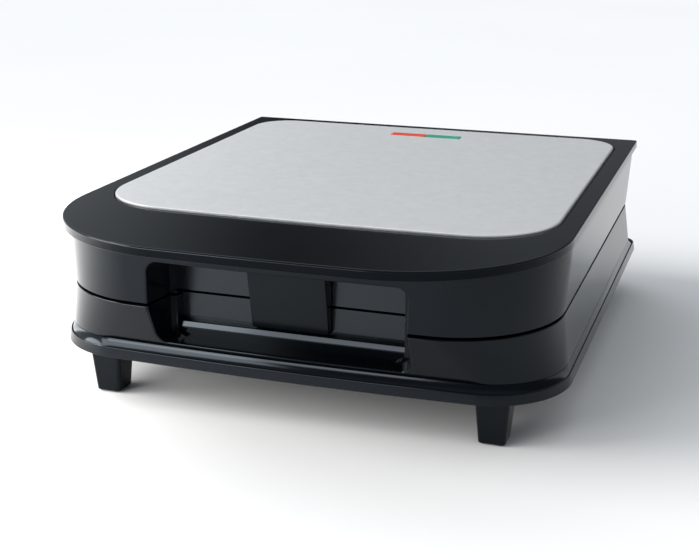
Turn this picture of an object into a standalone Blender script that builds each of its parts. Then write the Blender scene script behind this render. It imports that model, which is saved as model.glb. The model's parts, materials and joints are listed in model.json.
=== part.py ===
# Sandwich maker with a hinged lid, built from its separate pieces.
# Lengths are in metres, +Z is up, the front faces -Y and the feet stand at z = 0.
# The origin lies under the middle of the whole object's outline.
import math
from collections import namedtuple

import bmesh
import bpy
from mathutils import Matrix, Vector

# Frame: the flat surround of the lid that also forms the visor
FRAME_WIDTH = 0.280
FRAME_DEPTH = 0.348
FRAME_THICKNESS = 0.0050
FRAME_FRONT_RADIUS = 0.088
FRAME_REAR_RADIUS = 0.0018
FRAME_EDGE = 0.0010
FRONT_BOW_RADIUS = 1.9

# Heights, stacked from the floor to the frame's top
LEG_HEIGHT = 0.0263
RIM_HEIGHT = 0.0058
FOOT_RISE = 0.0044
BASE_HEIGHT = 0.0260
LID_HEIGHT = 0.0399

# Walls of the two shells and the groove between them
WALL = 0.0025
SPLIT_GAP = 0.0014
VISOR_REACH = 0.0268
WALL_FRONT_RADIUS = 0.059
WALL_REAR_RADIUS = 0.022
WALL_REAR_SETBACK = 0.0030
LID_WALL_TAPER = 0.0024
LID_SIDE_STEP = 0.0004
LID_FRONT_LEAN = 0.0010
COVE = 0.0030
SHELL_EDGE = 0.0006
BASE_SIDE_FLARE = 0.0034
BASE_REAR_FLARE = 0.0016
BASE_FRONT_SLOPE = 0.0118
FOOT_FRONT_RADIUS = 0.0430

# Tray: the bottom plate with its flared rim and moulded legs
RIM_OVERHANG = 0.0019
RIM_FRONT_OVERHANG = 0.0028
RIM_REAR_OVERHANG = 0.0058
RIM_FLARE = 0.0009
RIM_EDGE = 0.0005
RIM_WALL = 0.0022
RIM_FRONT_RADIUS = 0.0445
RIM_REAR_RADIUS = 0.012
TRAY_FLOOR = 0.0025
TRAY_FLOOR_RISE = 0.0030
SEAT_INWARD = 0.0045
RIM_FLAT_SHARE = 0.40

# Legs and their rubber pads
LEG_SIDE_MARGIN = 0.0307
LEG_FRONT_MARGIN = 0.0565
LEG_REAR_MARGIN = 0.0330
LEG_TOP_WIDTH = 0.0190
LEG_TOP_DEPTH = 0.0192
LEG_BOTTOM_WIDTH = 0.0144
LEG_BOTTOM_DEPTH = 0.0150
LEG_RADIUS = 0.0022
LEG_EDGE = 0.0009
PAD_DROP = 0.0006
PAD_DEPTH = 0.0022
PAD_MARGIN = 0.0024

# Steel panel in the frame's window
PANEL_SIDE_MARGIN = 0.0115
PANEL_FRONT_MARGIN = 0.0682
PANEL_REAR_MARGIN = 0.0128
PANEL_FRONT_RADIUS = 0.0448
PANEL_REAR_RADIUS = 0.0247
PANEL_RISE = 0.0012
PANEL_SHEET = 0.0008
PANEL_EDGE = 0.0012
WINDOW_GAP = 0.0009
SEAT_DEPTH = 0.0030
SEAT_WIDTH = 0.0060
SEAT_THICKNESS = 0.0022
RIB_WIDTH = 0.0140

# Indicator: two lenses side by side in a slot of the panel
LENS_WIDTH = 0.0243
LENS_DEPTH = 0.0088
LENS_HEIGHT = 0.0066
LENS_RAISE = 0.0003
LENS_REAR_MARGIN = 0.0300
LENS_EDGE = 0.0004
HOLDER_WALL = 0.0014
HOLDER_HEIGHT = 0.0120
HOLDER_FLANGE = 0.0040
LAMP_RADIUS = 0.0022
LAMP_LENGTH = 0.0120

# Finger recess in the front of both shells
RECESS_WIDTH = 0.1404
RECESS_DEPTH = 0.0302
RECESS_DRAFT = 0.0040
RECESS_SILL = 0.0025
RECESS_TOP_DROP = 0.0163
RECESS_RADIUS = 0.0060
RECESS_WALL = 0.0022
STEP_RISE = 0.0082
STEP_DEPTH = 0.0054

# Latch block that bridges the groove inside the recess
LATCH_WIDTH = 0.0432
LATCH_BOTTOM_GAP = 0.0010
LATCH_TOP_GAP = 0.0046
LATCH_TOP_REACH = 0.0108
LATCH_BOTTOM_REACH = 0.0046
LATCH_BACK_GAP = 0.0006
LATCH_HEAD_RELIEF = 0.0024
LATCH_EDGE = 0.0007
PIVOT_SETBACK = 0.0043
PIVOT_DROP = 0.0039
PIVOT_RADIUS = 0.0014
PIVOT_LENGTH = 0.0370
TONGUE_WIDTH = 0.0140
TONGUE_RADIUS = 0.0028
TONGUE_SLOT = 0.0280
NOSE_WIDTH = 0.0200
NOSE_HEIGHT = 0.0026
NOSE_GAP = 0.0002
KEEPER_WIDTH = 0.0260
KEEPER_HEIGHT = 0.0050
KEEPER_DEPTH = 0.0030
SPRING_WIRE = 0.0007
SPRING_RADIUS = 0.0024
SPRING_LENGTH = 0.0050
SPRING_TURNS = 4

# Cooking plates and what lies behind them
PLATE_SIDE_MARGIN = 0.0145
PLATE_FRONT_MARGIN = 0.0640
PLATE_REAR_MARGIN = 0.0300
PLATE_FRONT_RADIUS = 0.022
PLATE_REAR_RADIUS = 0.016
PLATE_THICKNESS = 0.0030
PLATE_SKIRT_DROP = 0.0019
PLATE_SKIRT_WALL = 0.0026
PLATE_EDGE = 0.0006
PLATE_FACE_GAP = 0.0003
PLATE_SIDE_GAP = 0.0006
CELL_MARGIN = 0.0085
RIDGE_WIDTH = 0.0050
POCKET_DEPTH = 0.0115
POCKET_WALL = 0.0022
POCKET_RADIUS = 0.0100
POCKET_TIP_RADIUS = 0.0060
POCKET_DRAFT = 0.0150
POCKET_INWARD_SHARES = (0.0, 0.18, 0.42, 0.80)
POCKET_DEPTH_SHARES = (0.0, 0.45, 0.82, 1.0)
BOSS_RADIUS = 0.0042
BOSS_SIDE_INSET = 0.0405
BOSS_END_INSET = 0.0670
HUB_RADIUS = 0.0080
HUB_HEIGHT = 0.0050
LEDGE_WIDTH = 0.0050
LEDGE_THICKNESS = 0.0025
PAN_SHEET = 0.0008
PAN_GAP = 0.0010
PAN_INSET = 0.0060
PAN_SLOPE = 0.0020
ELEMENT_RADIUS = 0.0032
ELEMENT_WIDTH = 0.0900
ELEMENT_FRONT_INSET = 0.0380
ELEMENT_REAR_INSET = 0.0200
ELEMENT_BEND = 0.0200
TERMINAL_RADIUS = 0.0012
TERMINAL_LENGTH = 0.0030
TERMINAL_INSET = 0.0020
SCREW_RADIUS = 0.0015
SCREW_HEAD_RADIUS = 0.0030
SCREW_HEAD_HEIGHT = 0.0022
SCREW_ENGAGEMENT = 0.0080
TOWER_RADIUS = 0.0048

# Controls inside the housing
THERMOSTAT_RADIUS = 0.0075
THERMOSTAT_HEIGHT = 0.0060
FUSE_RADIUS = 0.0021
FUSE_LENGTH = 0.0115
BLOCK_WIDTH = 0.0300
BLOCK_DEPTH = 0.0120
BLOCK_HEIGHT = 0.0140
BLOCK_HINGE_GAP = 0.0500
LEAD_RADIUS = 0.0012
LEAD_RISE = 0.0004

# Hinge at the rear
HINGE_SETBACK = 0.0066
BARREL_RADIUS = 0.0062
HINGE_SIDE_MARGIN = 0.0550
KNUCKLE_LENGTH = 0.0300
EAR_LENGTH = 0.0070
HINGE_PIN_RADIUS = 0.0022
HINGE_WEB_HEIGHT = 0.0120
PIN_HEAD_RADIUS = 0.0036
PIN_HEAD_LENGTH = 0.0014

# Cord inlet in the rear wall
GLAND_RISE = 0.0123
GLAND_RADIUS = 0.0062
GLAND_BORE = 0.0036
GLAND_FLANGE_RADIUS = 0.0085
GLAND_FLANGE = 0.0022
GLAND_NECK = 0.0060

# Clearances and one overrun for every cut
CLEARANCE = 0.0003
PIN_CLEARANCE = 0.0003
OVERRUN = 0.0020
MERGE_DISTANCE = 0.00001
SMOOTH_ANGLE = 35

CORNER_STEPS = 8
REAR_CORNER_STEPS = 4
BOW_STEPS = 3
ROUND_STEPS = 18
SMALL_ROUND_STEPS = 10
BEND_STEPS = 6
COIL_STEPS = 6
EDGE_STEPS = 2
POCKET_CORNER_STEPS = 3
RECESS_CORNER_STEPS = 4

Plan = namedtuple("Plan", "half front rear front_radius rear_radius")

# Places worked out from the sizes above
HINGE_REACH = HINGE_SETBACK + BARREL_RADIUS
REAR = (FRAME_DEPTH - HINGE_REACH) / 2
FRONT = REAR - FRAME_DEPTH
HALF_WIDTH = FRAME_WIDTH / 2
RIM_BOTTOM = LEG_HEIGHT
RIM_TOP = RIM_BOTTOM + RIM_HEIGHT
TRAY_FLOOR_HEIGHT = RIM_BOTTOM + TRAY_FLOOR_RISE
FOOT_HEIGHT = RIM_TOP + FOOT_RISE
SPLIT_HEIGHT = FOOT_HEIGHT + BASE_HEIGHT
FRAME_TOP = SPLIT_HEIGHT + LID_HEIGHT
FRAME_UNDERSIDE = FRAME_TOP - FRAME_THICKNESS
LID_BOTTOM = SPLIT_HEIGHT + SPLIT_GAP / 2
BASE_TOP = SPLIT_HEIGHT - SPLIT_GAP / 2
RECESS_FLOOR = FOOT_HEIGHT + RECESS_SILL
RECESS_TOP = FRAME_TOP - RECESS_TOP_DROP
STEP_HEIGHT = RECESS_FLOOR + STEP_RISE
LATCH_BOTTOM = STEP_HEIGHT + LATCH_BOTTOM_GAP
LATCH_TOP = RECESS_TOP - LATCH_TOP_GAP
PIVOT_HEIGHT = LATCH_TOP - PIVOT_DROP
GLAND_HEIGHT = FOOT_HEIGHT + GLAND_RISE
HINGE_X = HALF_WIDTH - HINGE_SIDE_MARGIN
BLOCK_X = BLOCK_HINGE_GAP - HINGE_X

# Drops below a plate's cooking face, the same in the base and upside down in the lid
LOWER_FACE = SPLIT_HEIGHT - PLATE_FACE_GAP / 2
UPPER_FACE = SPLIT_HEIGHT + PLATE_FACE_GAP / 2
PLATE_SKIRT = POCKET_DEPTH + PLATE_SKIRT_DROP
PAN_TOP_DROP = PLATE_SKIRT + CLEARANCE
LEDGE_DROP = PAN_TOP_DROP + PAN_SHEET + CLEARANCE
ELEMENT_DROP = POCKET_DEPTH + POCKET_WALL + CLEARANCE + ELEMENT_RADIUS
PAN_FLOOR_DROP = ELEMENT_DROP + ELEMENT_RADIUS + PAN_GAP
PAN_BOTTOM_DROP = PAN_FLOOR_DROP + PAN_SHEET
BOSS_DROP = PAN_FLOOR_DROP - CLEARANCE
DECK_TO_LEDGE = LEDGE_DROP + PLATE_FACE_GAP / 2 - SPLIT_GAP / 2


def make_collection(name):
    collection = bpy.data.collections.new(name)
    bpy.context.scene.collection.children.link(collection)
    return collection


def make_material(name, colour, roughness, metallic=0.0):
    material = bpy.data.materials.new(name)
    material.use_nodes = True
    shader = material.node_tree.nodes["Principled BSDF"]
    shader.inputs["Base Color"].default_value = (*colour, 1.0)
    shader.inputs["Roughness"].default_value = roughness
    shader.inputs["Metallic"].default_value = metallic
    material.diffuse_color = (*colour, 1.0)
    return material


# Plans: outlines seen from above


def inset(plan, distance):
    """The plan drawn in by a distance on every side, or let out by a negative one."""
    return Plan(
        plan.half - distance,
        plan.front + distance,
        plan.rear - distance,
        max(plan.front_radius - distance, FRAME_EDGE),
        max(plan.rear_radius - distance, FRAME_EDGE),
    )


def blend(first, second, share):
    return Plan(*(a + (b - a) * share for a, b in zip(first, second)))


def right_half(plan):
    """Points of the right half from the middle of the front to the middle of the rear."""
    bow = FRONT_BOW_RADIUS
    radius = plan.front_radius
    lean = math.asin((plan.half - radius) / (bow - radius))
    centre_x = plan.half - radius
    centre_y = plan.front + bow - (bow - radius) * math.cos(lean)
    points = []
    for step in range(BOW_STEPS):
        angle = lean * step / BOW_STEPS
        points.append((bow * math.sin(angle), plan.front + bow * (1 - math.cos(angle))))
    for step in range(CORNER_STEPS + 1):
        angle = lean + (math.pi / 2 - lean) * step / CORNER_STEPS
        points.append((centre_x + radius * math.sin(angle), centre_y - radius * math.cos(angle)))
    for step in range(REAR_CORNER_STEPS + 1):
        angle = math.pi / 2 * step / REAR_CORNER_STEPS
        x = plan.half - plan.rear_radius * (1 - math.cos(angle))
        points.append((x, plan.rear - plan.rear_radius * (1 - math.sin(angle))))
    return points


def ring(plan, height):
    right = right_half(plan)
    left = [(-x, y) for x, y in reversed(right[1:])]
    return [Vector((x, y, height)) for x, y in right + left]


FRAME_PLAN = Plan(HALF_WIDTH, FRONT, REAR, FRAME_FRONT_RADIUS, FRAME_REAR_RADIUS)
WALL_TOP_PLAN = Plan(
    HALF_WIDTH - LID_SIDE_STEP,
    FRONT + VISOR_REACH,
    REAR - WALL_REAR_SETBACK,
    WALL_FRONT_RADIUS,
    WALL_REAR_RADIUS,
)
SPLIT_PLAN = Plan(
    HALF_WIDTH - LID_WALL_TAPER,
    FRONT + VISOR_REACH - LID_FRONT_LEAN,
    REAR - WALL_REAR_SETBACK,
    WALL_FRONT_RADIUS,
    WALL_REAR_RADIUS,
)
FOOT_PLAN = Plan(
    SPLIT_PLAN.half + BASE_SIDE_FLARE,
    SPLIT_PLAN.front + BASE_FRONT_SLOPE,
    SPLIT_PLAN.rear + BASE_REAR_FLARE,
    FOOT_FRONT_RADIUS,
    WALL_REAR_RADIUS,
)
RIM_PLAN = Plan(
    FOOT_PLAN.half + RIM_OVERHANG,
    FOOT_PLAN.front - RIM_FRONT_OVERHANG,
    FOOT_PLAN.rear + RIM_REAR_OVERHANG,
    RIM_FRONT_RADIUS,
    RIM_REAR_RADIUS,
)
PANEL_PLAN = Plan(
    HALF_WIDTH - PANEL_SIDE_MARGIN,
    FRONT + PANEL_FRONT_MARGIN,
    REAR - PANEL_REAR_MARGIN,
    PANEL_FRONT_RADIUS,
    PANEL_REAR_RADIUS,
)
PLATE_PLAN = Plan(
    HALF_WIDTH - PLATE_SIDE_MARGIN,
    FRONT + PLATE_FRONT_MARGIN,
    REAR - PLATE_REAR_MARGIN,
    PLATE_FRONT_RADIUS,
    PLATE_REAR_RADIUS,
)
PLATE_MIDDLE = (PLATE_PLAN.front + PLATE_PLAN.rear) / 2
WINDOW_PLAN = inset(PANEL_PLAN, -WINDOW_GAP)
PLATE_WINDOW = inset(PLATE_PLAN, -PLATE_SIDE_GAP)
RECESS_BACK = SPLIT_PLAN.front + RECESS_DEPTH
HINGE_Y = REAR + HINGE_SETBACK
PIVOT_Y = RECESS_BACK - PIVOT_SETBACK
ELEMENT_X = ELEMENT_WIDTH / 2
ELEMENT_REAR = PLATE_PLAN.rear - ELEMENT_REAR_INSET
TERMINAL_Y = ELEMENT_REAR - TERMINAL_INSET

PARTS = None
CUTTERS = None


# Meshes and modifiers


def mesh_object(name, bm, collection, material=None):
    bmesh.ops.recalc_face_normals(bm, faces=bm.faces)
    mesh = bpy.data.meshes.new(name)
    bm.to_mesh(mesh)
    bm.free()
    obj = bpy.data.objects.new(name, mesh)
    collection.objects.link(obj)
    mesh.shade_smooth()
    mesh.set_sharp_from_angle(angle=math.radians(SMOOTH_ANGLE))
    if material is not None:
        mesh.materials.append(material)
    return obj


def helper(name, bm):
    obj = mesh_object(name, bm, CUTTERS)
    obj.hide_render = True
    obj.display_type = "WIRE"
    return obj


def boolean(obj, other, operation):
    modifier = obj.modifiers.new(operation.lower() + " " + other.name, "BOOLEAN")
    modifier.operation = operation
    modifier.solver = "EXACT"
    modifier.object = other


def cut(obj, *others):
    for other in others:
        boolean(obj, other, "DIFFERENCE")


def join(obj, *others):
    for other in others:
        boolean(obj, other, "UNION")


def loft(rings, looped=False):
    """A closed body through rings of equal length: capped at both ends, or closed back to the first ring."""
    bm = bmesh.new()
    rows = [[bm.verts.new(point) for point in points] for points in rings]
    pairs = list(zip(rows, rows[1:]))
    if looped:
        pairs.append((rows[-1], rows[0]))
    else:
        bm.faces.new(rows[0])
        bm.faces.new(rows[-1])
    for lower, upper in pairs:
        for index in range(len(lower)):
            after = (index + 1) % len(lower)
            bm.faces.new((lower[index], lower[after], upper[after], upper[index]))
    return bm


def box(low, high):
    bm = bmesh.new()
    bmesh.ops.create_cube(bm, size=1)
    size = [b - a for a, b in zip(low, high)]
    middle = [(a + b) / 2 for a, b in zip(low, high)]
    bmesh.ops.scale(bm, vec=size, verts=bm.verts)
    bmesh.ops.translate(bm, vec=middle, verts=bm.verts)
    return bm


def rod(radius, start, end, steps=ROUND_STEPS):
    """A cylinder between two points."""
    start = Vector(start)
    end = Vector(end)
    bm = bmesh.new()
    bmesh.ops.create_cone(
        bm,
        cap_ends=True,
        segments=steps,
        radius1=radius,
        radius2=radius,
        depth=(end - start).length,
    )
    turn = Vector((0, 0, 1)).rotation_difference(end - start).to_matrix().to_4x4()
    bmesh.ops.transform(bm, matrix=Matrix.Translation((start + end) / 2) @ turn, verts=bm.verts)
    return bm


def rounded_polygon(corners, radii, steps):
    """Corner points of a convex outline, each rounded by its own radius."""
    points = []
    for index, corner in enumerate(corners):
        corner = Vector(corner)
        before = (Vector(corners[index - 1]) - corner).normalized()
        after = (Vector(corners[(index + 1) % len(corners)]) - corner).normalized()
        half_angle = before.angle(after) / 2
        bisector = (before + after).normalized()
        centre = corner + bisector * (radii[index] / math.sin(half_angle))
        start = (corner + before * (radii[index] / math.tan(half_angle))) - centre
        end = (corner + after * (radii[index] / math.tan(half_angle))) - centre
        turn = math.atan2(start.x * end.y - start.y * end.x, start.dot(end))
        for step in range(steps + 1):
            angle = turn * step / steps
            offset = Vector(
                (
                    start.x * math.cos(angle) - start.y * math.sin(angle),
                    start.x * math.sin(angle) + start.y * math.cos(angle),
                )
            )
            points.append(centre + offset)
    return points


def shrink_polygon(corners, distance):
    """A convex anticlockwise outline with each side moved in by a distance."""
    moved = []
    count = len(corners)
    for index in range(count):
        corner = Vector(corners[index])
        before = (corner - Vector(corners[index - 1])).normalized()
        after = (Vector(corners[(index + 1) % count]) - corner).normalized()
        inward_before = Vector((-before.y, before.x))
        inward_after = Vector((-after.y, after.x))
        bisector = (inward_before + inward_after).normalized()
        moved.append(corner + bisector * (distance / bisector.dot(inward_before)))
    return moved


def rectangle(half_x, half_y):
    return [(-half_x, -half_y), (half_x, -half_y), (half_x, half_y), (-half_x, half_y)]


def turned(name, profile, place, steps, collection, material=None, closed=False):
    """A profile of radius and height, from top to bottom, turned round its own Z axis."""
    bm = bmesh.new()
    verts = [bm.verts.new((radius, 0, height)) for radius, height in profile]
    for first, second in zip(verts, verts[1:]):
        bm.edges.new((first, second))
    if closed:
        bm.edges.new((verts[-1], verts[0]))
    mesh = bpy.data.meshes.new(name)
    bm.to_mesh(mesh)
    bm.free()
    obj = bpy.data.objects.new(name, mesh)
    collection.objects.link(obj)
    obj.matrix_world = place
    screw = obj.modifiers.new("turned", "SCREW")
    screw.steps = steps
    screw.render_steps = steps
    screw.use_merge_vertices = True
    screw.merge_threshold = MERGE_DISTANCE
    screw.use_smooth_shade = True
    if material is not None:
        mesh.materials.append(material)
    return obj


def tube_mesh(name, points, radius, sides_resolution=1):
    """A round tube along points, as a mesh with welded caps."""
    curve = bpy.data.curves.new(name, "CURVE")
    curve.dimensions = "3D"
    curve.bevel_depth = radius
    curve.bevel_resolution = sides_resolution
    curve.use_fill_caps = True
    spline = curve.splines.new("POLY")
    spline.points.add(len(points) - 1)
    for target, point in zip(spline.points, points):
        target.co = (*point, 1.0)
    guide = bpy.data.objects.new(name + "_guide", curve)
    bpy.context.scene.collection.objects.link(guide)
    graph = bpy.context.evaluated_depsgraph_get()
    mesh = bpy.data.meshes.new_from_object(guide.evaluated_get(graph))
    bpy.data.objects.remove(guide)
    bm = bmesh.new()
    bm.from_mesh(mesh)
    bpy.data.meshes.remove(mesh)
    bmesh.ops.remove_doubles(bm, verts=bm.verts, dist=radius / 100)
    return bm


# Lid cover: frame, visor, walls, the seat of the panel and the window of the plate


def deck_rings(deck, sign):
    """Rings of the deck around a plate's window: sign is 1 in the lid and -1 in the base."""
    ledge = deck + sign * DECK_TO_LEDGE
    ledge_edge = inset(PLATE_WINDOW, LEDGE_WIDTH)
    skirt = inset(PLATE_WINDOW, -WALL)
    inner_wall = inset(SPLIT_PLAN, WALL)
    return [
        ring(inset(SPLIT_PLAN, SHELL_EDGE), deck),
        ring(PLATE_WINDOW, deck),
        ring(PLATE_WINDOW, ledge),
        ring(ledge_edge, ledge),
        ring(ledge_edge, ledge + sign * LEDGE_THICKNESS),
        ring(skirt, ledge + sign * LEDGE_THICKNESS),
        ring(skirt, deck + sign * WALL),
        ring(inner_wall, deck + sign * WALL),
    ]


def recess_section(y, grow=0.0, low=None, high=None):
    """The finger recess cut across at y: a rounded rectangle whose sides draw in towards the back."""
    share = (y - SPLIT_PLAN.front) / RECESS_DEPTH
    half = RECESS_WIDTH / 2 - RECESS_DRAFT * share + grow
    bottom = RECESS_FLOOR - grow if low is None else low
    top = RECESS_TOP + grow if high is None else high
    radius = RECESS_RADIUS + grow
    corners = [(-half, bottom), (half, bottom), (half, top), (-half, top)]
    radii = [radius if low is None else FRAME_EDGE] * 2 + [radius if high is None else FRAME_EDGE] * 2
    return [Vector((x, y, z)) for x, z in rounded_polygon(corners, radii, RECESS_CORNER_STEPS)]


def recess_cutter():
    start = SPLIT_PLAN.front - VISOR_REACH / 2
    return helper("recess_cutter", loft([recess_section(start), recess_section(RECESS_BACK)]))


def recess_block(name, low, high, envelope):
    """The solid that the recess is cut from, kept inside the shell's own walls by an envelope."""
    start = SPLIT_PLAN.front - VISOR_REACH / 2
    end = RECESS_BACK + RECESS_WALL
    rings = [recess_section(start, RECESS_WALL, low, high), recess_section(end, RECESS_WALL, low, high)]
    block = helper(name, loft(rings))
    boolean(block, helper(name + "_envelope", loft(envelope)), "INTERSECT")
    return block


def hinge_lobe(name, low_x, high_x, web_low, web_high):
    """A barrel round the hinge axis with the web that joins it to a rear wall."""
    barrel = rod(BARREL_RADIUS, (low_x, HINGE_Y, SPLIT_HEIGHT), (high_x, HINGE_Y, SPLIT_HEIGHT))
    lobe = helper(name, barrel)
    web_front = REAR - WALL_REAR_SETBACK - WALL / 2
    web = helper(name + "_web", box((low_x, web_front, web_low), (high_x, HINGE_Y, web_high)))
    join(lobe, web)
    return lobe


def make_lid_cover(material, recess):
    seat_top = FRAME_TOP - SEAT_DEPTH
    underside = seat_top - SEAT_THICKNESS
    seat = inset(WINDOW_PLAN, SEAT_WIDTH)
    rings = [
        ring(seat, underside),
        ring(seat, seat_top),
        ring(WINDOW_PLAN, seat_top),
        ring(WINDOW_PLAN, FRAME_TOP - FRAME_EDGE / 2),
        ring(inset(WINDOW_PLAN, -FRAME_EDGE / 2), FRAME_TOP),
        ring(inset(FRAME_PLAN, FRAME_EDGE), FRAME_TOP),
        ring(inset(FRAME_PLAN, FRAME_EDGE / 3), FRAME_TOP - FRAME_EDGE / 3),
        ring(FRAME_PLAN, FRAME_TOP - FRAME_EDGE),
        ring(FRAME_PLAN, FRAME_UNDERSIDE + FRAME_EDGE / 2),
        ring(inset(FRAME_PLAN, FRAME_EDGE / 2), FRAME_UNDERSIDE),
        ring(blend(FRAME_PLAN, WALL_TOP_PLAN, 1 - COVE / VISOR_REACH), FRAME_UNDERSIDE - FRAME_EDGE / 4),
        ring(blend(FRAME_PLAN, WALL_TOP_PLAN, 1 - COVE / VISOR_REACH / 4), FRAME_UNDERSIDE - COVE / 3),
        ring(WALL_TOP_PLAN, FRAME_UNDERSIDE - COVE),
        ring(SPLIT_PLAN, LID_BOTTOM + SHELL_EDGE),
    ]
    rings += deck_rings(LID_BOTTOM, 1)
    rings.append(ring(inset(WALL_TOP_PLAN, WALL), underside))
    cover = mesh_object("lid_cover", loft(rings, looped=True), PARTS, material)
    envelope = [
        ring(inset(SPLIT_PLAN, WALL / 2), LID_BOTTOM),
        ring(inset(WALL_TOP_PLAN, WALL / 2), FRAME_UNDERSIDE - COVE),
    ]
    join(cover, recess_block("lid_recess_block", LID_BOTTOM, None, envelope))
    for name, low, high in seat_ribs(seat):
        join(cover, helper(name, box((*low, underside), (*high, seat_top))))
    low, high = lens_slot(HOLDER_WALL + CLEARANCE * 2)
    cut(cover, recess, helper("lamp_window", box((*low, underside - OVERRUN), (*high, FRAME_TOP))))
    join(cover, latch_tongue())
    cut(cover, pivot_hole("lid_pivot_hole", -TONGUE_WIDTH / 2 - OVERRUN, TONGUE_WIDTH / 2 + OVERRUN))
    for side in (-1, 1):
        middle = side * HINGE_X
        lobe = hinge_lobe(
            "lid_knuckle_" + side_name(side),
            middle - KNUCKLE_LENGTH / 2,
            middle + KNUCKLE_LENGTH / 2,
            LID_BOTTOM,
            LID_BOTTOM + HINGE_WEB_HEIGHT,
        )
        join(cover, lobe)
        cut(cover, hinge_bore("lid_hinge_bore_" + side_name(side), middle))
    for number, (x, y) in enumerate(boss_places(), 1):
        cut(cover, screw_hole("lid_screw_hole_%d" % number, x, y, underside - OVERRUN, seat_top + OVERRUN))
    return cover


def seat_ribs(seat):
    """Name, low corner and high corner of each rib under the panel and round the lamps."""
    half = RIB_WIDTH / 2
    across = seat.half + WALL
    return [
        ("lid_rib_across", (-across, PLATE_MIDDLE - half), (across, PLATE_MIDDLE + half)),
        ("lid_rib_along", (-half, seat.front - WALL), (half, seat.rear + WALL)),
        ("lid_lamp_frame", *lens_slot(HOLDER_WALL + CLEARANCE * 2 + WALL)),
    ]


def latch_tongue():
    """The tongue on the recess's back wall that carries the latch."""
    half = TONGUE_WIDTH / 2
    eye = rod(TONGUE_RADIUS, (-half, PIVOT_Y, PIVOT_HEIGHT), (half, PIVOT_Y, PIVOT_HEIGHT))
    tongue = helper("latch_tongue", eye)
    low = (-half, PIVOT_Y, PIVOT_HEIGHT - TONGUE_RADIUS)
    high = (half, RECESS_BACK + RECESS_WALL / 2, PIVOT_HEIGHT + TONGUE_RADIUS)
    join(tongue, helper("latch_tongue_root", box(low, high)))
    return tongue


def screw_hole(name, x, y, low, high):
    return helper(name, rod(SCREW_RADIUS + CLEARANCE, (x, y, low), (x, y, high), SMALL_ROUND_STEPS))


def side_name(side):
    return "left" if side < 0 else "right"


def pivot_hole(name, low_x, high_x):
    bore = rod(
        PIVOT_RADIUS + PIN_CLEARANCE,
        (low_x, PIVOT_Y, PIVOT_HEIGHT),
        (high_x, PIVOT_Y, PIVOT_HEIGHT),
        SMALL_ROUND_STEPS,
    )
    return helper(name, bore)


def hinge_bore(name, middle):
    reach = KNUCKLE_LENGTH / 2 + EAR_LENGTH + PIN_HEAD_LENGTH + OVERRUN
    return helper(
        name,
        rod(
            HINGE_PIN_RADIUS + PIN_CLEARANCE,
            (middle - reach, HINGE_Y, SPLIT_HEIGHT),
            (middle + reach, HINGE_Y, SPLIT_HEIGHT),
        ),
    )


# Base housing: walls, deck and ledge around the lower plate, recess and hinge ears


def make_base_housing(material, recess):
    rings = deck_rings(BASE_TOP, -1)
    rings += [
        ring(inset(FOOT_PLAN, WALL), FOOT_HEIGHT),
        ring(FOOT_PLAN, FOOT_HEIGHT),
        ring(SPLIT_PLAN, BASE_TOP - SHELL_EDGE),
    ]
    base = mesh_object("base_housing", loft(rings, looped=True), PARTS, material)
    envelope = [
        ring(inset(FOOT_PLAN, WALL / 2), FOOT_HEIGHT),
        ring(inset(SPLIT_PLAN, WALL / 2), BASE_TOP),
    ]
    join(base, recess_block("base_recess_block", None, BASE_TOP, envelope))
    cut(base, recess)
    half = RECESS_WIDTH / 2
    step = box(
        (-half, RECESS_BACK - STEP_DEPTH, RECESS_FLOOR - RECESS_WALL / 2),
        (half, RECESS_BACK + RECESS_WALL / 2, STEP_HEIGHT),
    )
    join(base, helper("recess_step", step))
    keeper = box(
        (-KEEPER_WIDTH / 2, RECESS_BACK - OVERRUN, STEP_HEIGHT),
        (KEEPER_WIDTH / 2, RECESS_BACK + KEEPER_DEPTH, STEP_HEIGHT + KEEPER_HEIGHT),
    )
    backing = box(
        (-KEEPER_WIDTH / 2 - WALL, RECESS_BACK + RECESS_WALL / 2, STEP_HEIGHT - WALL),
        (KEEPER_WIDTH / 2 + WALL, RECESS_BACK + KEEPER_DEPTH + WALL, BASE_TOP - WALL / 2),
    )
    join(base, helper("keeper_backing", backing))
    cut(base, helper("keeper_cutter", keeper))
    for side in (-1, 1):
        for end in (-1, 1):
            inner = side * HINGE_X + end * (KNUCKLE_LENGTH / 2 + CLEARANCE)
            outer = inner + end * EAR_LENGTH
            lobe = hinge_lobe(
                "base_ear_%s_%s" % (side_name(side), "outer" if side == end else "inner"),
                min(inner, outer),
                max(inner, outer),
                BASE_TOP - HINGE_WEB_HEIGHT,
                BASE_TOP,
            )
            join(base, lobe)
        cut(base, hinge_bore("base_hinge_bore_" + side_name(side), side * HINGE_X))
    hole = rod(
        GLAND_RADIUS + CLEARANCE,
        (BLOCK_X, REAR - WALL_REAR_RADIUS, GLAND_HEIGHT),
        (BLOCK_X, REAR + OVERRUN, GLAND_HEIGHT),
    )
    cut(base, helper("gland_hole", hole))
    return base


# Base tray: floor, flared rim, four tapered legs and the towers that take the screws


def leg_places():
    front = FRONT + LEG_FRONT_MARGIN
    rear = REAR - LEG_REAR_MARGIN
    return [
        (side_name(side), end, side * (HALF_WIDTH - LEG_SIDE_MARGIN), y)
        for end, y in (("front", front), ("rear", rear))
        for side in (-1, 1)
    ]


def leg_section(width, depth, x, y, height, shrink=0.0):
    corners = rectangle(width / 2 - shrink, depth / 2 - shrink)
    outline = rounded_polygon(corners, [LEG_RADIUS] * 4, EDGE_STEPS)
    return [Vector((x + p.x, y + p.y, height)) for p in outline]


def boss_places():
    side = PLATE_PLAN.half - BOSS_SIDE_INSET
    return [
        (0, PLATE_PLAN.front + BOSS_END_INSET),
        (0, PLATE_PLAN.rear - BOSS_END_INSET),
        (-side, PLATE_MIDDLE),
        (side, PLATE_MIDDLE),
    ]


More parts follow.
